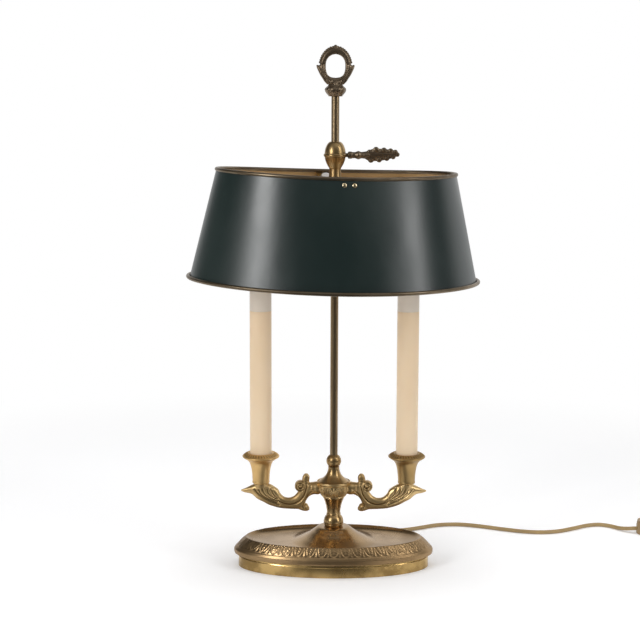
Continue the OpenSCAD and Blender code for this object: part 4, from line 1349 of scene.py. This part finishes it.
@dataclass
class Stem:
    """Turned parts from the base up to the finial's seat."""

    tube_r: float = 5.1
    ball_z: float = 51.81
    ball_r: float = 11.5
    # Height, half width and depth of the line round the ball
    line: Point = (49.9, 0.35, 0.3)
    leaves: int = 12
    leaf_columns: int = 40
    leaf_h: float = 0.6
    # Levels of carving: the ground between the leaves, and the plain metal round the band
    ground: float = 0.1
    plain: float = 0.6
    trumpet_top: float = 117.4
    rod_ball_r: float = 8.6
    rod_ball_neck: float = 5.6
    rod_r: float = 4.5
    rod_z: float = 131.256
    rod_top: float = 542.256
    # How far the rod goes into the ball and into the finial
    rod_ends: Spot = (6.5, 8.0)

    def lower(self) -> bpy.types.Object:
        """Turns the ball with its fine line, the neck and the inverted trumpet.

        Returns:
            The piece.
        """
        profile: Profile = [(self.tube_r, 46.5)]
        height, half, depth = self.line
        for a in np.radians(np.arange(-27.5, 47.4, 2.5)):
            z = self.ball_z + self.ball_r * math.sin(a)
            profile.append((self.ball_r * math.cos(a) - depth * float(bump_at(z, height, half)), z))
        profile += [(7.9, 60.4), (8.3, 60.7), (8.4, 61.4), (8.2, 62.1), (7.8, 62.6)]
        profile += bezier((7.8, 62.9), (8.1, 69), (9.8, 75), (12.2, 80.4), 14)
        profile += [(12.45, 80.9), (12.5, 81.5), (12.2, 82), (self.tube_r, 82)]
        return Shape.lathe("lower_stem_turned", profile)

    def leaf(self, s: np.ndarray, t: np.ndarray) -> np.ndarray:
        """Carves a broad leaf with a rib and curled veins, and half a narrow one on both its sides.

        Args:
            s: place across the leaf, from -0.5 to 0.5.
            t: place up the band, from 0 to 1.

        Returns:
            The relief, from 0 to 1.
        """
        far = np.abs(s)
        edge = 0.36 * np.sin(np.pi * np.clip(t, 0, 1) ** 0.8) ** 0.6
        vein = (0.6 * (t * 5 % 1) - far / 0.3) % 0.6
        rise = 0.9 * bump_at(far, edge, 0.05)
        rise = np.maximum(rise, 0.8 * bump_at(s, 0, 0.05) * (t < 0.86))
        rise = np.maximum(rise, 0.6 * bump_at(vein, 0.3, 0.16) * (far < edge))
        rise = np.maximum(rise, 0.8 * bump_at(far, 0.5, 0.05))
        return rise * ease(0.0, 0.08, t) * (1 - ease(0.94, 1.0, t))

    def hub(self) -> bpy.types.Object:
        """Makes the bowl with a carved band of leaves under a plain flange.

        Returns:
            The piece.
        """
        foot = [(self.tube_r, 82), (12.6, 82), (13.2, 82.3), (14.1, 82.6), (14.3, 83.2)]
        bowl = bezier((14.2, 83.7), (15.9, 86.4), (18.2, 90.6), (18.5, 96.0), 26)
        flange = [
            (18.7, 96.6), (19.2, 97.1), (19.6, 97.8), (19.7, 98.8), (19.6, 99.7), (19.3, 100.1),
            (18.9, 100.0), (18.6, 99.5), (18.4, 98.8), (self.tube_r, 98.7),
        ]
        profile = foot + bowl + flange
        grid = turned(profile, self.leaves * self.leaf_columns)
        s, t = motif_place(len(profile), len(foot), len(bowl) - 1, len(grid), self.leaf_columns)
        rise = self.leaf(s, t)
        carved = self.ground + (1 - self.ground) * rise
        level = np.where((t > 0.02) & (t < 0.98), carved, self.plain)
        grid = raised(grid, self.leaf_h * rise)
        return Shape("hub_carved").sheet(grid, close_v=True, relief=level).piece(CARVED)

    def cover(self) -> bpy.types.Object:
        """Turns the trumpet-shaped cover above the hub.

        Returns:
            The piece.
        """
        profile = [(self.tube_r, 98.8), (17.3, 98.8), (17.45, 99.4), (17.4, 100.1), (16.8, 100.6)]
        profile += bezier((16.4, 100.8), (10.6, 104.6), (8.6, 107.2), (7.2, 111.4), 16)
        profile += [(6.9, 112.6), (6.6, 114.2), (6.4, 115.4), (6.5, 116.2), (6.4, self.trumpet_top)]
        return Shape.lathe("trumpet_turned", profile + [(self.tube_r, self.trumpet_top)])

    def ball(self) -> bpy.types.Object:
        """Turns the ball between the cover and the rod.

        Returns:
            The piece.
        """
        r, foot = self.rod_ball_r, self.trumpet_top
        z = foot + math.sqrt(r**2 - self.rod_ball_neck**2)
        low, high = (math.asin((end - z) / r) for end in (foot, self.rod_z))
        round_line = [(r * math.cos(a), z + r * math.sin(a)) for a in np.linspace(low, high, 28)]
        return Shape.lathe("rod_ball_turned", [(4.6, foot)] + round_line)

    def rod(self) -> bpy.types.Object:
        """Draws the plain rod up into the finial's cup.

        Returns:
            The piece.
        """
        low, high = self.rod_z - self.rod_ends[0], self.rod_top + self.rod_ends[1]
        line = [(self.rod_r, z) for z in np.linspace(low, high, 40)]
        return Shape.lathe("rod_drawn", [(3.0, low)] + line + [(3.0, high)], 64)

    def build(self) -> None:
        """Makes every turned part."""
        for make, slot, finish, node in (
            (self.lower, "stem_brass", Metal.STEM, "lower_stem"),
            (self.hub, "stem_brass", Metal.CAST, "hub_bowl"),
            (self.cover, "stem_brass", Metal.STEM, "trumpet_cover"),
            (self.ball, "stem_brass", Metal.STEM, "rod_ball"),
            (self.rod, "rod_brass", Metal.ROD, "rod"),
        ):
            put_on(make(), "stand", finish, [node])


# ---------------------------------------------------------------- finial


@dataclass
class Finial:
    """Beaded ring between two leaves on a leafy cup."""

    foot_z: float = 542.256
    grain: float = 0.38
    # Start, end and step of the beads along the edge, how far they stand out, and their size
    bead_run: Point = (2.9, 26.5, 2.55)
    bead_out: float = 0.6
    bead: Point = (1.3, 2.0, 1.3)
    # Right half of the ring from its top to its foot, with the outer edge first
    band: tuple[Station, ...] = (
        (0.0, 54.2, 0.0, 46.6, 3.4), (5.6, 53.2, 4.2, 45.6, 3.4), (10.8, 49.6, 7.9, 43.0, 3.4),
        (14.4, 44.6, 10.0, 39.4, 3.4), (16.4, 39.6, 10.7, 36.2, 3.3), (17.4, 35.0, 10.8, 33.0, 3.3),
        (17.2, 29.8, 10.6, 29.6, 3.5), (15.0, 24.2, 9.8, 26.2, 3.7), (11.8, 18.4, 8.2, 23.4, 3.9),
        (7.4, 13.0, 5.0, 21.4, 4.2), (0.0, 11.0, 0.0, 20.6, 4.4),
    )
    # Height of the cup's petals, how far they reach up and down from it, and their number
    petals: Point = (6.0, 4.0, 10.0)
    petal_h: float = 0.7

    def leaf(self) -> list[tuple[np.ndarray, np.ndarray]]:
        """Draws the lobes of the right-hand leaf.

        Returns:
            A middle line and its radii for each lobe.
        """
        lobes = (
            [
                (10.4, 19.6, 3.4), (14.2, 25.2, 3.4), (17.2, 29.8, 2.8), (19.4, 32.6, 1.9),
                (21.0, 34.6, 0.7),
            ],
            [(12.6, 23.4, 3.4), (14.8, 28.6, 3.4), (16.4, 32.0, 2.9), (17.6, 34.8, 1.3)],
            [(7.4, 14.2, 2.2), (11.2, 18.6, 2.4), (14.8, 23.0, 1.0)],
        )
        rows = [through([(x, 0, z, r) for x, z, r in lobe], 5) for lobe in lobes]
        return [(row[:, :3], row[:, 3]) for row in rows]

    def grooves(self) -> Carving:
        """Lays out the veins of both leaves and the line between each leaf and the ring.

        Returns:
            The grooves.
        """
        veins = (
            [(4.6, 17.0), (9.2, 20.6), (13.4, 26.2), (17.4, 31.4)],
            [(8.8, 15.6), (12.6, 20.4), (16.0, 25.4)],
            [(6.0, 20.0), (10.6, 24.4), (13.2, 30.0), (14.0, 35.4)],
            [(11.8, 36.6), (14.2, 35.4), (17.4, 36.6)],
            [(0.6, 13.0), (3.4, 14.6), (6.0, 17.0)],
        )
        both = [[(side * x, z) for x, z in line] for line in veins for side in (-1, 1)]
        return Carving([(line, 0.55, 0.75) for line in both], self.foot_z)

    def beads(self) -> list[Point]:
        """Places the beads along the ring's outer edge, right half.

        Returns:
            The beads' middles.
        """
        edge = arc_even(through([row[:2] for row in self.band], 6)[:30], 60)
        run = run_of(edge)
        out = []
        for place in np.arange(*self.bead_run):
            marks = np.array([place, place + 0.2])
            here, ahead = np.stack([np.interp(marks, run, edge[:, k]) for k in (0, 1)], axis=1)
            x_way, z_way = (ahead - here) / np.linalg.norm(ahead - here)
            out.append((here[0] - self.bead_out * z_way, 0.0, here[1] + self.bead_out * x_way))
        return out

    def cup(self) -> np.ndarray:
        """Draws the cup with its petals.

        Returns:
            A grid, turned about Z.
        """
        profile = [
            (5.0, 0), (7.7, 0), (7.9, 0.8), (8.6, 1.8), (9.6, 3.2), (10.8, 5.2), (11.5, 7.4),
            (11.1, 9), (9.8, 10.4), (8.6, 11.6), (7.4, 13.6), (5, 16.6), (1, 18),
        ]
        grid = turned(profile)
        q = np.linspace(0, 2 * math.pi, len(grid), endpoint=False)[:, None]
        height = np.array(profile)[:, 1][None, :]
        middle, reach, number = self.petals
        crest = np.abs(np.cos(number / 2 * q)) ** 0.7
        return raised(grid, self.petal_h * crest * bump_at(height, middle, reach))

    def build(self) -> None:
        """Melts ring, beads, leaves and cup into one casting."""
        shape = Shape("ring_finial")
        for side in (-1, 1):
            flip = np.array([side, 1, 1])
            shape.tube(sections(self.band, 5, 16, 0.0) * flip)
            for bead in self.beads():
                shape.ball(bead * flip, self.bead, 16)
            for path, radii in self.leaf():
                shape.tube(swept(path * flip, radii, 12))
        shape.ball((0, 0, 54.9), (2.2, 2.7, 2.2), 18)
        shape.sheet(self.cup(), caps=True)
        shape.lift(self.foot_z)
        piece = shape.casting(self.grain, self.grooves())
        put_on(piece, "stand", Metal.DARK, ["finial"])


# ---------------------------------------------------------------- arms


@dataclass
class Arms:
    """Two cast scroll arms, mirror images of each other."""

    reach: float = 84.5
    height: float = 91.5
    scroll: Spot = (38.8, 2.5)
    grain: float = 0.4
    # Finger above the scroll and hook below it, in stations
    finger: tuple[Station, ...] = (
        (27.8, 2, 37.2, 1, 4.4), (28.4, 7.6, 37.0, 7.2, 4.2), (28.0, 11.6, 36.6, 11.6, 4.0),
        (28.2, 14.2, 35.8, 14.4, 3.7), (30.2, 16.9, 33.8, 17, 2.2),
    )
    hook: tuple[Station, ...] = (
        (40, -25.6, 35.4, -15.6, 4.2), (35.2, -27.2, 32.6, -19.6, 4.5),
        (31, -27.4, 30.4, -20.9, 4.1), (28, -25.8, 28.4, -22.6, 2.2),
    )
    # Middle and radii of the balls: the scroll's eye, the hook's ball and the eye in it
    eye: Point = (1.9, 6.3, 1.9)
    hook_balls: tuple[tuple[Point, Point, int], ...] = (
        ((33.2, 0, -22.2), (4.1, 5.2, 4.1), 20),
        ((34.4, 0, -20.4), (1.7, 6.2, 1.7), 16),
    )

    def stations(self) -> list[Station]:
        """Lays out the side view of the arm from the hub to the leaf's tip.

        Returns:
            Stations with the upper edge first.
        """
        a = self.reach
        return [
            (18, 6.2, 18, -6.6, 5.8), (24.5, 6.3, 20.6, -7.2, 5.9), (30, 6.8, 24.2, -7.7, 6.1),
            (36, 3.8, 28.6, -10.2, 5.5), (40, -1.2, 31.7, -14.4, 5), (42, -5, 33.6, -19.4, 4.8),
            (45.1, -8.9, 37, -25.2, 4.7), (48.2, -10.8, 42.6, -25.2, 4.6),
            (52, -11.8, 49, -25, 4.6), (57.6, -10.7, 56, -24.6, 4.9), (62, -6.6, 62.6, -23.8, 5.4),
            (64.6, -1.6, 69.4, -22.2, 6), (70, 2.2, 76, -19.8, 6.8),
            (a - 8.6, 5.2, a - 2.4, -16.4, 7.8), (a, 6.4, a + 4.4, -12.8, 7.8),
            (a + 7.6, 4.6, a + 9.4, -8.2, 6), (a + 13.4, 1.9, a + 13.4, -6.4, 4),
            (a + 18.6, -0.6, a + 18.4, -5.6, 2.3), (a + 23.4, -2.4, a + 23.2, -3.8, 0.7),
        ]

    def grooves(self) -> Carving:
        """Lays out the grooves between strands, between the leaf's folds and round the scroll.

        Returns:
            The grooves.
        """
        strand = [
            (31.4, 3.4), (32.4, -0.4), (33.3, -4.6), (34.7, -8.8), (38, -13.6), (43.7, -17.4),
            (50.3, -18.8), (56.8, -17.9), (61.4, -16.2), (64.6, -13.6),
        ]
        leaf = [
            [(91.6, -0.6), (88.4, -4.8), (83.0, -9.6), (76.5, -13.8), (69.9, -16.9), (63.8, -19.4)],
            [(87.0, -0.6), (84.7, -5.4), (79.8, -10.0), (73.2, -13.6), (66.0, -16.9)],
            [(82.4, -0.2), (80.6, -5.2), (76.5, -9.4), (70.7, -12.7), (65.0, -15.0)],
            [(77.2, 0.4), (75.7, -4.8), (72.0, -9.0), (66.4, -12.6)],
            [(72.2, 0.4), (70.7, -4.6), (67.9, -8.8), (64.4, -12.0)],
        ]
        scroll = [
            (self.scroll[0] + r * math.cos(q), self.scroll[1] + r * math.sin(q))
            for q, r in zip(np.radians(np.linspace(-110, 330, 23)), np.linspace(5.2, 1.8, 23))
        ]
        under = [
            (24.5, -2.6), (28.0, -5.6), (30.6, -9.8), (33.6, -16.0), (36.0, -20.4), (34.4, -23.6),
        ]
        nail = [(29.4, 8.8), (35.4, 8.2)]
        lines = [(strand, 0.8, 1.4), (scroll, 0.7, 1.1), (under, 0.6, 0.6), (nail, 0.5, 0.5)]
        return Carving(lines + [(line, 0.95, 1.3) for line in leaf], self.height)

    def shape(self, name: str) -> Shape:
        """Gathers all forms of the right-hand arm.

        Args:
            name: the piece's name.

        Returns:
            The forms, not yet melted.
        """
        shape = Shape(name).tube(sections(self.stations(), 5, 32))
        shape.tube(sections(self.finger, 5, 20)).tube(sections(self.hook, 5, 20))
        middle = np.array([self.scroll[0], 0, self.scroll[1]])
        half = [(0.2, 5.0), (4.4, 5.4), (5.8, 4.8), (6.4, 3.4)]
        disc = turned([(r, -y) for r, y in half] + half[::-1], 40)
        shape.sheet(disc[:, :, [0, 2, 1]] + middle, caps=True).ball(middle, self.eye, 16)
        for spot, radii, sides in self.hook_balls:
            shape.ball(spot, radii, sides)
        seat = turned([(1, -4), (8.2, -4), (8.2, 5.2), (7.6, 6), (1, 6)], 48)
        shape.sheet(seat + np.array([self.reach, 0, 0]), caps=True)
        # Ring where the arm meets the hub
        boss = [
            (1, 9), (6.1, 9), (6.3, 14.4), (7.2, 16.6), (7.6, 18.2), (7.6, 20.4), (7.2, 22.6),
            (6.9, 26), (1, 26),
        ]
        shape.sheet(turned(boss, 40)[:, :, [2, 0, 1]], caps=True)
        shape.lift(self.height)
        return shape

    def build(self) -> None:
        """Casts both arms."""
        for word, mirror in (("left", True), ("right", False)):
            piece = self.shape(f"scroll_arm_{word}").casting(self.grain, self.grooves(), mirror)
            put_on(piece, "stand", Metal.CAST, [f"arm_{word}"])


# ---------------------------------------------------------------- candles


@dataclass
class Candles:
    """Candle cups, sleeves, lampholders and bulbs at both arms' ends."""

    frame: dict
    reach: float = 84.5
    foot: float = 97.5
    columns: int = 288
    ribs: int = 36
    rib_h: float = 0.32
    # How far a rib turns on its way in, in radians
    rib_twist: float = 2.2
    sleeve_r: float = 12.5
    sleeve_wall: float = 1.2
    sleeve_z: float = 127.5
    sleeve_top: float = 299.5
    bulb_z: float = 322.5

    def cup(self, word: str, side: int) -> None:
        """Makes a waisted cup with a wide pan, whose upper face is milled.

        Args:
            word: which candle, left or right.
            side: -1 for left and 1 for right.
        """
        z = self.foot
        profile = [
            (5.2, z), (9.2, z), (9.9, z + 0.5), (10.1, z + 1.2), (10.0, z + 2.2), (9.8, z + 2.8),
        ]
        profile += bezier((9.8, z + 3.4), (10.3, z + 13), (11.0, z + 20.4), (13.6, z + 25), 14)
        profile += bezier(
            (14.2, z + 25.8), (16.4, z + 28.6), (19.2, z + 29.4), (21.0, z + 31), 8
        )[1:]
        profile += [(21.4, z + 31.6), (21.4, z + 32.4), (21.0, z + 32.9)]
        pan = bezier((20.6, z + 33.1), (18.6, z + 34.4), (16.8, z + 35.8), (14.6, z + 36), 12)
        socket = [(13.6, z + 35.7), (12.75, z + 35.0), (12.75, z + 30), (5.2, z + 30)]
        grid = turned(profile + pan + socket, self.columns)
        motif = self.columns // self.ribs
        s, t = motif_place(grid.shape[1], len(profile), len(pan) - 1, self.columns, motif)
        ribs = np.cos(2 * math.pi * s + math.pi + self.rib_twist * t) * ((t >= 0) & (t <= 1))
        ribs *= ease(0.0, 0.2, t) * (1 - ease(0.75, 1.0, t))
        grid = raised(grid, self.rib_h * ribs) + np.array([side * self.reach, 0, 0])
        level = np.clip(0.55 + 0.5 * ribs, 0, 1)
        shape = Shape(f"cup_{word}").sheet(grid, close_v=True, relief=level)
        put_on(shape.piece(CARVED), "stand", Metal.CUP, [f"candle_cup_{word}"])

    def sleeve(self, word: str, side: int) -> None:
        """Makes a cream sleeve with softened edges.

        Args:
            word: which candle, left or right.
            side: -1 for left and 1 for right.
        """
        r, low, high, wall = self.sleeve_r, self.sleeve_z, self.sleeve_top, self.sleeve_wall
        profile = [(r - wall, low), (r - 0.3, low), (r, low + 0.4)]
        profile += [(r, z) for z in np.linspace(low + 4, high - 4, 30)]
        profile += [(r, high - 0.5), (r - 0.15, high - 0.15), (r - 0.5, high), (r - wall, high)]
        piece = Shape.lathe(f"sleeve_{word}", profile, middle=side * self.reach)
        put_on(piece, "stand", Other.SLEEVE, [f"candle_sleeve_{word}"])

    def bulb(self, word: str, side: int) -> None:
        """Makes an opal candle bulb.

        Args:
            word: which candle, left or right.
            side: -1 for left and 1 for right.
        """
        z = self.bulb_z
        profile = [(0.4, z)] + bezier((7, z), (7.2, z + 10), (17.5, z + 17.2), (17.5, z + 36.1), 16)
        profile += bezier((17.4, z + 38.7), (17.5, z + 53.3), (3.4, z + 72.2), (1.4, z + 85.1), 18)
        profile.append((0.3, z + 85.9))
        piece = Shape.lathe(f"bulb_{word}", profile, 64, side * self.reach, caps=True)
        put_on(piece, "stand", Other.OPAL, [f"bulb_glass_{word}"])

    def build(self) -> None:
        """Makes both candles."""
        for word, side in (("left", -1), ("right", 1)):
            self.cup(word, side)
            self.sleeve(word, side)
            self.bulb(word, side)
            dress(self.frame, Other.HOLDER, f"lampholder_{word}")
            dress(self.frame, Metal.THREAD, f"holder_tube_{word}")
            dress(self.frame, Other.PLATED, f"bulb_cap_{word}")


# ---------------------------------------------------------------- clamp


@dataclass
class Clamp:
    """Egg-shaped collar that holds the shade on the rod, and its leaf key."""

    frame: dict
    bead_z: float = 476.756
    bore: float = 4.6
    root: float = 14.3
    grain: float = 0.3
    # Lobes along the leaf's edge: reach, height, radius and half thickness
    lobes: tuple[tuple[float, float, float, float], ...] = (
        (38.4, 4.0, 2.4, 2.0), (46, 6.0, 3.5, 2.0), (55, 5.4, 3.3, 2.0), (62.4, 4.8, 3.0, 1.8),
        (67.8, 3.4, 2.9, 1.6), (70.0, 0.8, 2.7, 1.4), (40.3, -5.2, 3.4, 2.1),
        (49.6, -4.9, 3.3, 2.0), (58.2, -3.4, 3.1, 1.8), (65.4, -1.8, 2.8, 1.6),
    )
    blade: tuple[Station, ...] = (
        (33, 3.6, 33, -3.6, 2.6), (37, 5.2, 37, -6.0, 2.1), (42, 7.0, 42, -6.8, 1.8),
        (47, 7.6, 47, -6.6, 1.7), (53, 7.2, 53, -6.0, 1.6), (60, 6.6, 60, -4.6, 1.5),
        (66, 5.6, 66, -2.8, 1.4), (70.6, 3.4, 70.6, -0.8, 1.0),
    )
    # Radius and reach from the root of the key's turned stem
    stem: tuple[Spot, ...] = (
        (2.3, 0), (3.6, 0.2), (4.1, 1.0), (4.1, 4.0), (3.5, 5.2), (3.5, 8.4), (4.0, 9.6),
        (4.7, 11.0), (4.7, 12.6), (4.0, 14.0), (3.6, 15), (3.9, 18), (4.2, 20), (3.0, 24),
        (0.4, 27),
    )
    # Notches between the lobes, veins and rings: half width, depth and line
    notches: tuple[tuple[float, float, tuple[Spot, ...]], ...] = (
        (0.6, 0.8, ((50.9, 9.6), (49.8, 4.6))), (0.6, 0.8, ((59.0, 8.6), (57.6, 4.2))),
        (0.5, 0.7, ((65.6, 7.4), (63.8, 3.6))), (0.6, 0.8, ((44.6, -9.0), (45.8, -4.4))),
        (0.6, 0.8, ((54.2, -8.4), (53.6, -3.8))), (0.5, 0.7, ((62.2, -6.4), (61.2, -2.4))),
        (0.5, 0.7, ((41.4, 8.0), (42.0, 4.2))), (0.4, 0.5, ((34.4, -6), (34.8, -1))),
        (0.4, 0.5, ((31.4, -4), (31.8, 4))), (0.5, 0.4, ((46, 3.2), (56, 2.6), (64, 2.0))),
        (0.5, 0.4, ((44, -2.6), (54, -2.2), (62, -0.6))),
    )

    def collar(self) -> bpy.types.Object:
        """Turns the collar with its bead, neck, shoulder and spigot.

        Returns:
            The piece.
        """
        z = self.bead_z
        foot = z - 43.886
        profile = [
            (self.bore, foot), (6.8, foot), (6.8, z - 34.8), (9.4, z - 34.8), (9.6, z - 34.2),
        ]
        profile += bezier((8.6, z - 33.2), (7.6, z - 29.8), (7.0, z - 26.4), (6.6, z - 15.4), 12)
        profile += [(6.7, z - 14.4), (7.4, z - 13.6)]
        profile += bezier((7.8, z - 12.8), (10, z - 9.2), (11.6, z - 5.2), (11.9, z - 1.8), 14)
        profile += [(12.5, z - 1.5), (13.0, z - 0.8), (13.1, z), (13.0, z + 0.8), (12.5, z + 1.5)]
        profile += bezier((11.9, z + 1.8), (11.9, z + 6), (9.9, z + 13), (5.9, z + 15), 18)
        profile += [(5.2, z + 15.1), (self.bore, z + 15.0)]
        return Shape.lathe("collar_turned", profile)

    def key(self) -> bpy.types.Object:
        """Casts the leaf-shaped key on its screw, pointing along +X.

        Returns:
            The piece.
        """
        stem = [(0.3, 4.62), (2.3, 4.7)] + [(r, self.root + way) for r, way in self.stem]
        shape = Shape("leaf_key").sheet(turned(stem, 32)[:, :, [2, 0, 1]], caps=True)
        for spot, up, r, thick in self.lobes:
            shape.ball((spot, 0, up), (r, thick, r), 20)
        shape.tube(sections(self.blade, 5, 24))
        shape.lift(self.bead_z)
        carve = Carving([(line, width, depth) for width, depth, line in self.notches], self.bead_z)
        return shape.casting(self.grain, carve)

    def build(self) -> None:
        """Makes the collar and the key."""
        put_on(self.collar(), "shade_clamp", Metal.CLAMP, ["clamp_collar"])
        put_on(self.key(), "clamp_key", Metal.DARK, ["clamp_key"])
        dress(self.frame, Metal.CLAMP, "ring_nut")


# ---------------------------------------------------------------- shade


@dataclass
class Shade:
    """Oval tapered shade of painted sheet metal between two rolled rims."""

    frame: dict
    top_a: float = 136.0
    top_b: float = 90.0
    flare: float = 30.0
    height: float = 121.0
    smile: float = 3.6
    sheet_t: float = 0.8
    rim_r: float = 2.2
    # Where the wall starts below the top rim's middle, over the rim's radius, and how far in
    # it ends at the bottom rim
    wall_down: float = 0.9
    wall_in: float = 2.48
    turn: float = 8.0
    lean: float = 1.45
    shift: float = 1.9
    strip_z: float = 439.413
    top_z: float = 454.613
    tab_h: float = 12.6
    columns: int = 240
    rows: int = 12
    # Shank radius and length of a screw, its head's radius, edge and dome, its slot's floor,
    # and the slot's half width at its lips and at its floor
    shank: Spot = (1.4, 6.4)
    head_r: float = 2.7
    head_edge: float = 0.75
    dome: float = 1.35
    slot_z: float = 0.8
    slot_half: Spot = (0.55, 0.3)
    # End of the strip, drop below the tab's top and distance apart of both pairs of screws
    pairs: tuple[Point, ...] = ((-1, 4, 11), (1, 3, 15))
    # How far the slots are turned, in radians, left and right
    slots: Spot = (0.9, 0.6)
    # Half width and half height of the paper oval, how far behind the wall its back and face
    # are, and its drop below the tab's top
    label_half: Spot = (5.6, 4.2)
    label_in: Spot = (3.9, 3.6)
    label_drop: float = 2.7

    @property
    def angles(self) -> np.ndarray:
        """Angles of the columns."""
        return np.linspace(0, 2 * math.pi, self.columns, endpoint=False)

    @property
    def slope(self) -> float:
        """How far the wall goes out for each millimetre down."""
        tilt = math.atan(self.flare / self.height)
        return (self.flare - self.wall_in / math.cos(tilt)) / self.height

    def edge(self, k: float) -> np.ndarray:
        """Draws the centreline of a rim.

        Args:
            k: 0 for the top and 1 for the bottom.

        Returns:
            A point for each column.
        """
        x, y = np.cos(self.angles), np.sin(self.angles)
        z = self.top_z - self.strip_z - k * self.height + self.smile * x**2
        a, b = self.top_a + k * self.flare, self.top_b + k * self.flare
        return np.stack([a * x, b * y, z], axis=1)

    def hung(self, grid: np.ndarray) -> np.ndarray:
        """Moves points from the shade's own axes to its place on the clamp.

        Args:
            grid: the points.

        Returns:
            The points in their place.
        """
        lean = Matrix.Rotation(math.radians(self.lean), 3, "Y")
        turn = np.array(Matrix.Rotation(math.radians(self.turn), 3, "Z") @ lean)
        return (grid + np.array([self.shift, 0, 0])) @ turn.T + np.array([0, 0, self.strip_z])

    def across(self, k: float) -> tuple[np.ndarray, np.ndarray]:
        """Works out the wall's directions at each column.

        Args:
            k: 0 for the top rim and 1 for the bottom rim.

        Returns:
            Unit vectors down the wall, and out of it.
        """
        down = self.edge(1) - self.edge(0)
        down /= np.linalg.norm(down, axis=1, keepdims=True)
        x, y = np.cos(self.angles), np.sin(self.angles)
        a, b = self.top_a + k * self.flare, self.top_b + k * self.flare
        out = np.cross(np.stack([-a * y, b * x, 0 * x], axis=1), -down)
        return down, out / np.linalg.norm(out, axis=1, keepdims=True)

    def wall(self) -> bpy.types.Object:
        """Bends the sheet-metal wall, painted outside and brass-coloured inside.

        Returns:
            The piece, with the paint's faces marked 0 and the others 1.
        """
        down, out_top = self.across(0)
        _, out_low = self.across(1)
        top = self.edge(0) + self.rim_r * self.wall_down * down
        low = self.edge(1) - self.wall_in * out_low
        middle, out = (
            np.stack([a + (b - a) * t for t in np.linspace(0, 1, self.rows)], axis=1)
            for a, b in ((top, low), (out_top, out_low))
        )
        face, back = middle + out * self.sheet_t / 2, (middle - out * self.sheet_t / 2)[:, ::-1]
        shape = Shape("shade_sheet").sheet(self.hung(face), mark=0).sheet(self.hung(back), mark=1)
        for a, b in ((face, back), (back, face)):
            shape.sheet(self.hung(np.stack([a[:, -1], b[:, 0]], axis=1)), mark=1)
        return shape.piece()

    def rim(self, name: str, k: float) -> bpy.types.Object:
        """Rolls a rim.

        Args:
            name: the piece's name.
            k: 0 for the top and 1 for the bottom.

        Returns:
            The piece.
        """
        down, out = (way[:, None, :] for way in self.across(k))
        p = np.radians(np.arange(0, 360, 22.5) + 11.25)[None, :, None]
        grid = self.edge(k)[:, None, :] + self.rim_r * (np.cos(p) * out + np.sin(p) * down)
        return Shape(name).sheet(self.hung(grid), close_v=True).piece()

    def on_wall(self, grid: np.ndarray, end: int, level: float, aside: float = 0.0) -> np.ndarray:
        """Sets a form that was turned about Z on the wall, at an end of the cross strip.

        Args:
            grid: the form's points, with Z outwards.
            end: -1 for the front and 1 for the back.
            level: height above the strip's middle.
            aside: distance to the right.

        Returns:
            The points in their place.
        """
        tilt = Matrix.Rotation(-end * (math.pi / 2 - math.atan(self.slope)), 3, "X")
        half_y = self.top_b + (self.top_z - self.strip_z - level) * self.slope
        return self.hung(grid @ np.array(tilt).T + np.array([aside, end * half_y, level]))

    def screws(self) -> bpy.types.Object:
        """Makes four domed screws with a slot across each head.

        Returns:
            The piece.
        """
        shape = Shape("dome_screws")
        shank_r, length = self.shank
        profile = [
            (0.05, -length), (shank_r, -length), (shank_r, 0.5), (self.head_r, 0.5),
            (self.head_r + 0.05, 0.7),
        ]
        for a in np.radians(np.linspace(4, 88, 22)):
            profile.append((self.head_r * math.cos(a), self.head_edge + self.dome * math.sin(a)))
        for end, drop, gap in self.pairs:
            for side, turn in zip((-1, 1), self.slots):
                grid = turned(profile, 60)
                across = grid[:, :, 0] * math.cos(turn) + grid[:, :, 1] * math.sin(turn)
                slot = ease(*self.slot_half, np.abs(across)) * (grid[:, :, 2] > 0.9)
                grid[:, :, 2] += slot * (self.slot_z - grid[:, :, 2])
                shape.sheet(self.on_wall(grid, end, self.tab_h - drop, side * gap / 2), caps=True)
        return shape.piece(crease=40)

    def label(self) -> bpy.types.Object:
        """Cuts a blank paper oval for the back tab, up to the rim.

        Returns:
            The piece.
        """
        back, face = self.label_in
        disc = turned([(0.01, -back), (1, -back), (1, -face), (0.01, -face)], 48)
        grid = self.on_wall(disc * np.array([*self.label_half, 1]), 1, self.tab_h - self.label_drop)
        return Shape("paper_oval").sheet(grid, caps=True).piece()

    def build(self) -> None:
        """Makes the wall and the rims and dresses the strip and its fasteners."""
        put_on(self.label(), "shade", Other.PAPER, ["shade_label"])
        put_on(self.screws(), "shade", Metal.SCREW, ["strip_screws"])
        put_on(self.wall(), "shade", [Other.PAINT, Metal.LINING], ["shade_wall"])
        put_on(self.rim("top_rim", 0), "shade", Metal.RIM, ["shade_top_rim"])
        put_on(self.rim("bottom_rim", 1), "shade", Metal.RIM, ["shade_bottom_rim"])
        dress(self.frame, Metal.STRIP, "cross_strip")
        dress(self.frame, Metal.SCREW, "strip_nuts")


# ---------------------------------------------------------------- making


def note_sizes() -> None:
    """Defines a helper that turns a box into plain lists; nothing is written.
    """

    def plain(box: Sequence[Sequence[float]]) -> list[list[float]]:
        """A box as plain lists."""
        return [[float(v) for v in corner] for corner in box]


def main() -> None:
    """Builds the lamp, from the camera and the cords to the smallest fittings."""
    logging.basicConfig(level=logging.INFO, format="%(name)s: %(message)s")
    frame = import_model()
    Studio().build()
    makers: Sequence[tuple[str, Callable[[], None]]] = (
        ("cord", Cord(frame).build),
        ("base", Base(frame).build),
        ("stem", Stem().build),
        ("finial", Finial().build),
        ("arms", Arms().build),
        ("candles", Candles(frame).build),
        ("clamp", Clamp(frame).build),
        ("shade", Shade(frame).build),
    )
    for word, make in makers:
        make()
        log.info("%s is done", word)
    note_sizes()


if __name__ == "__main__":
    main()
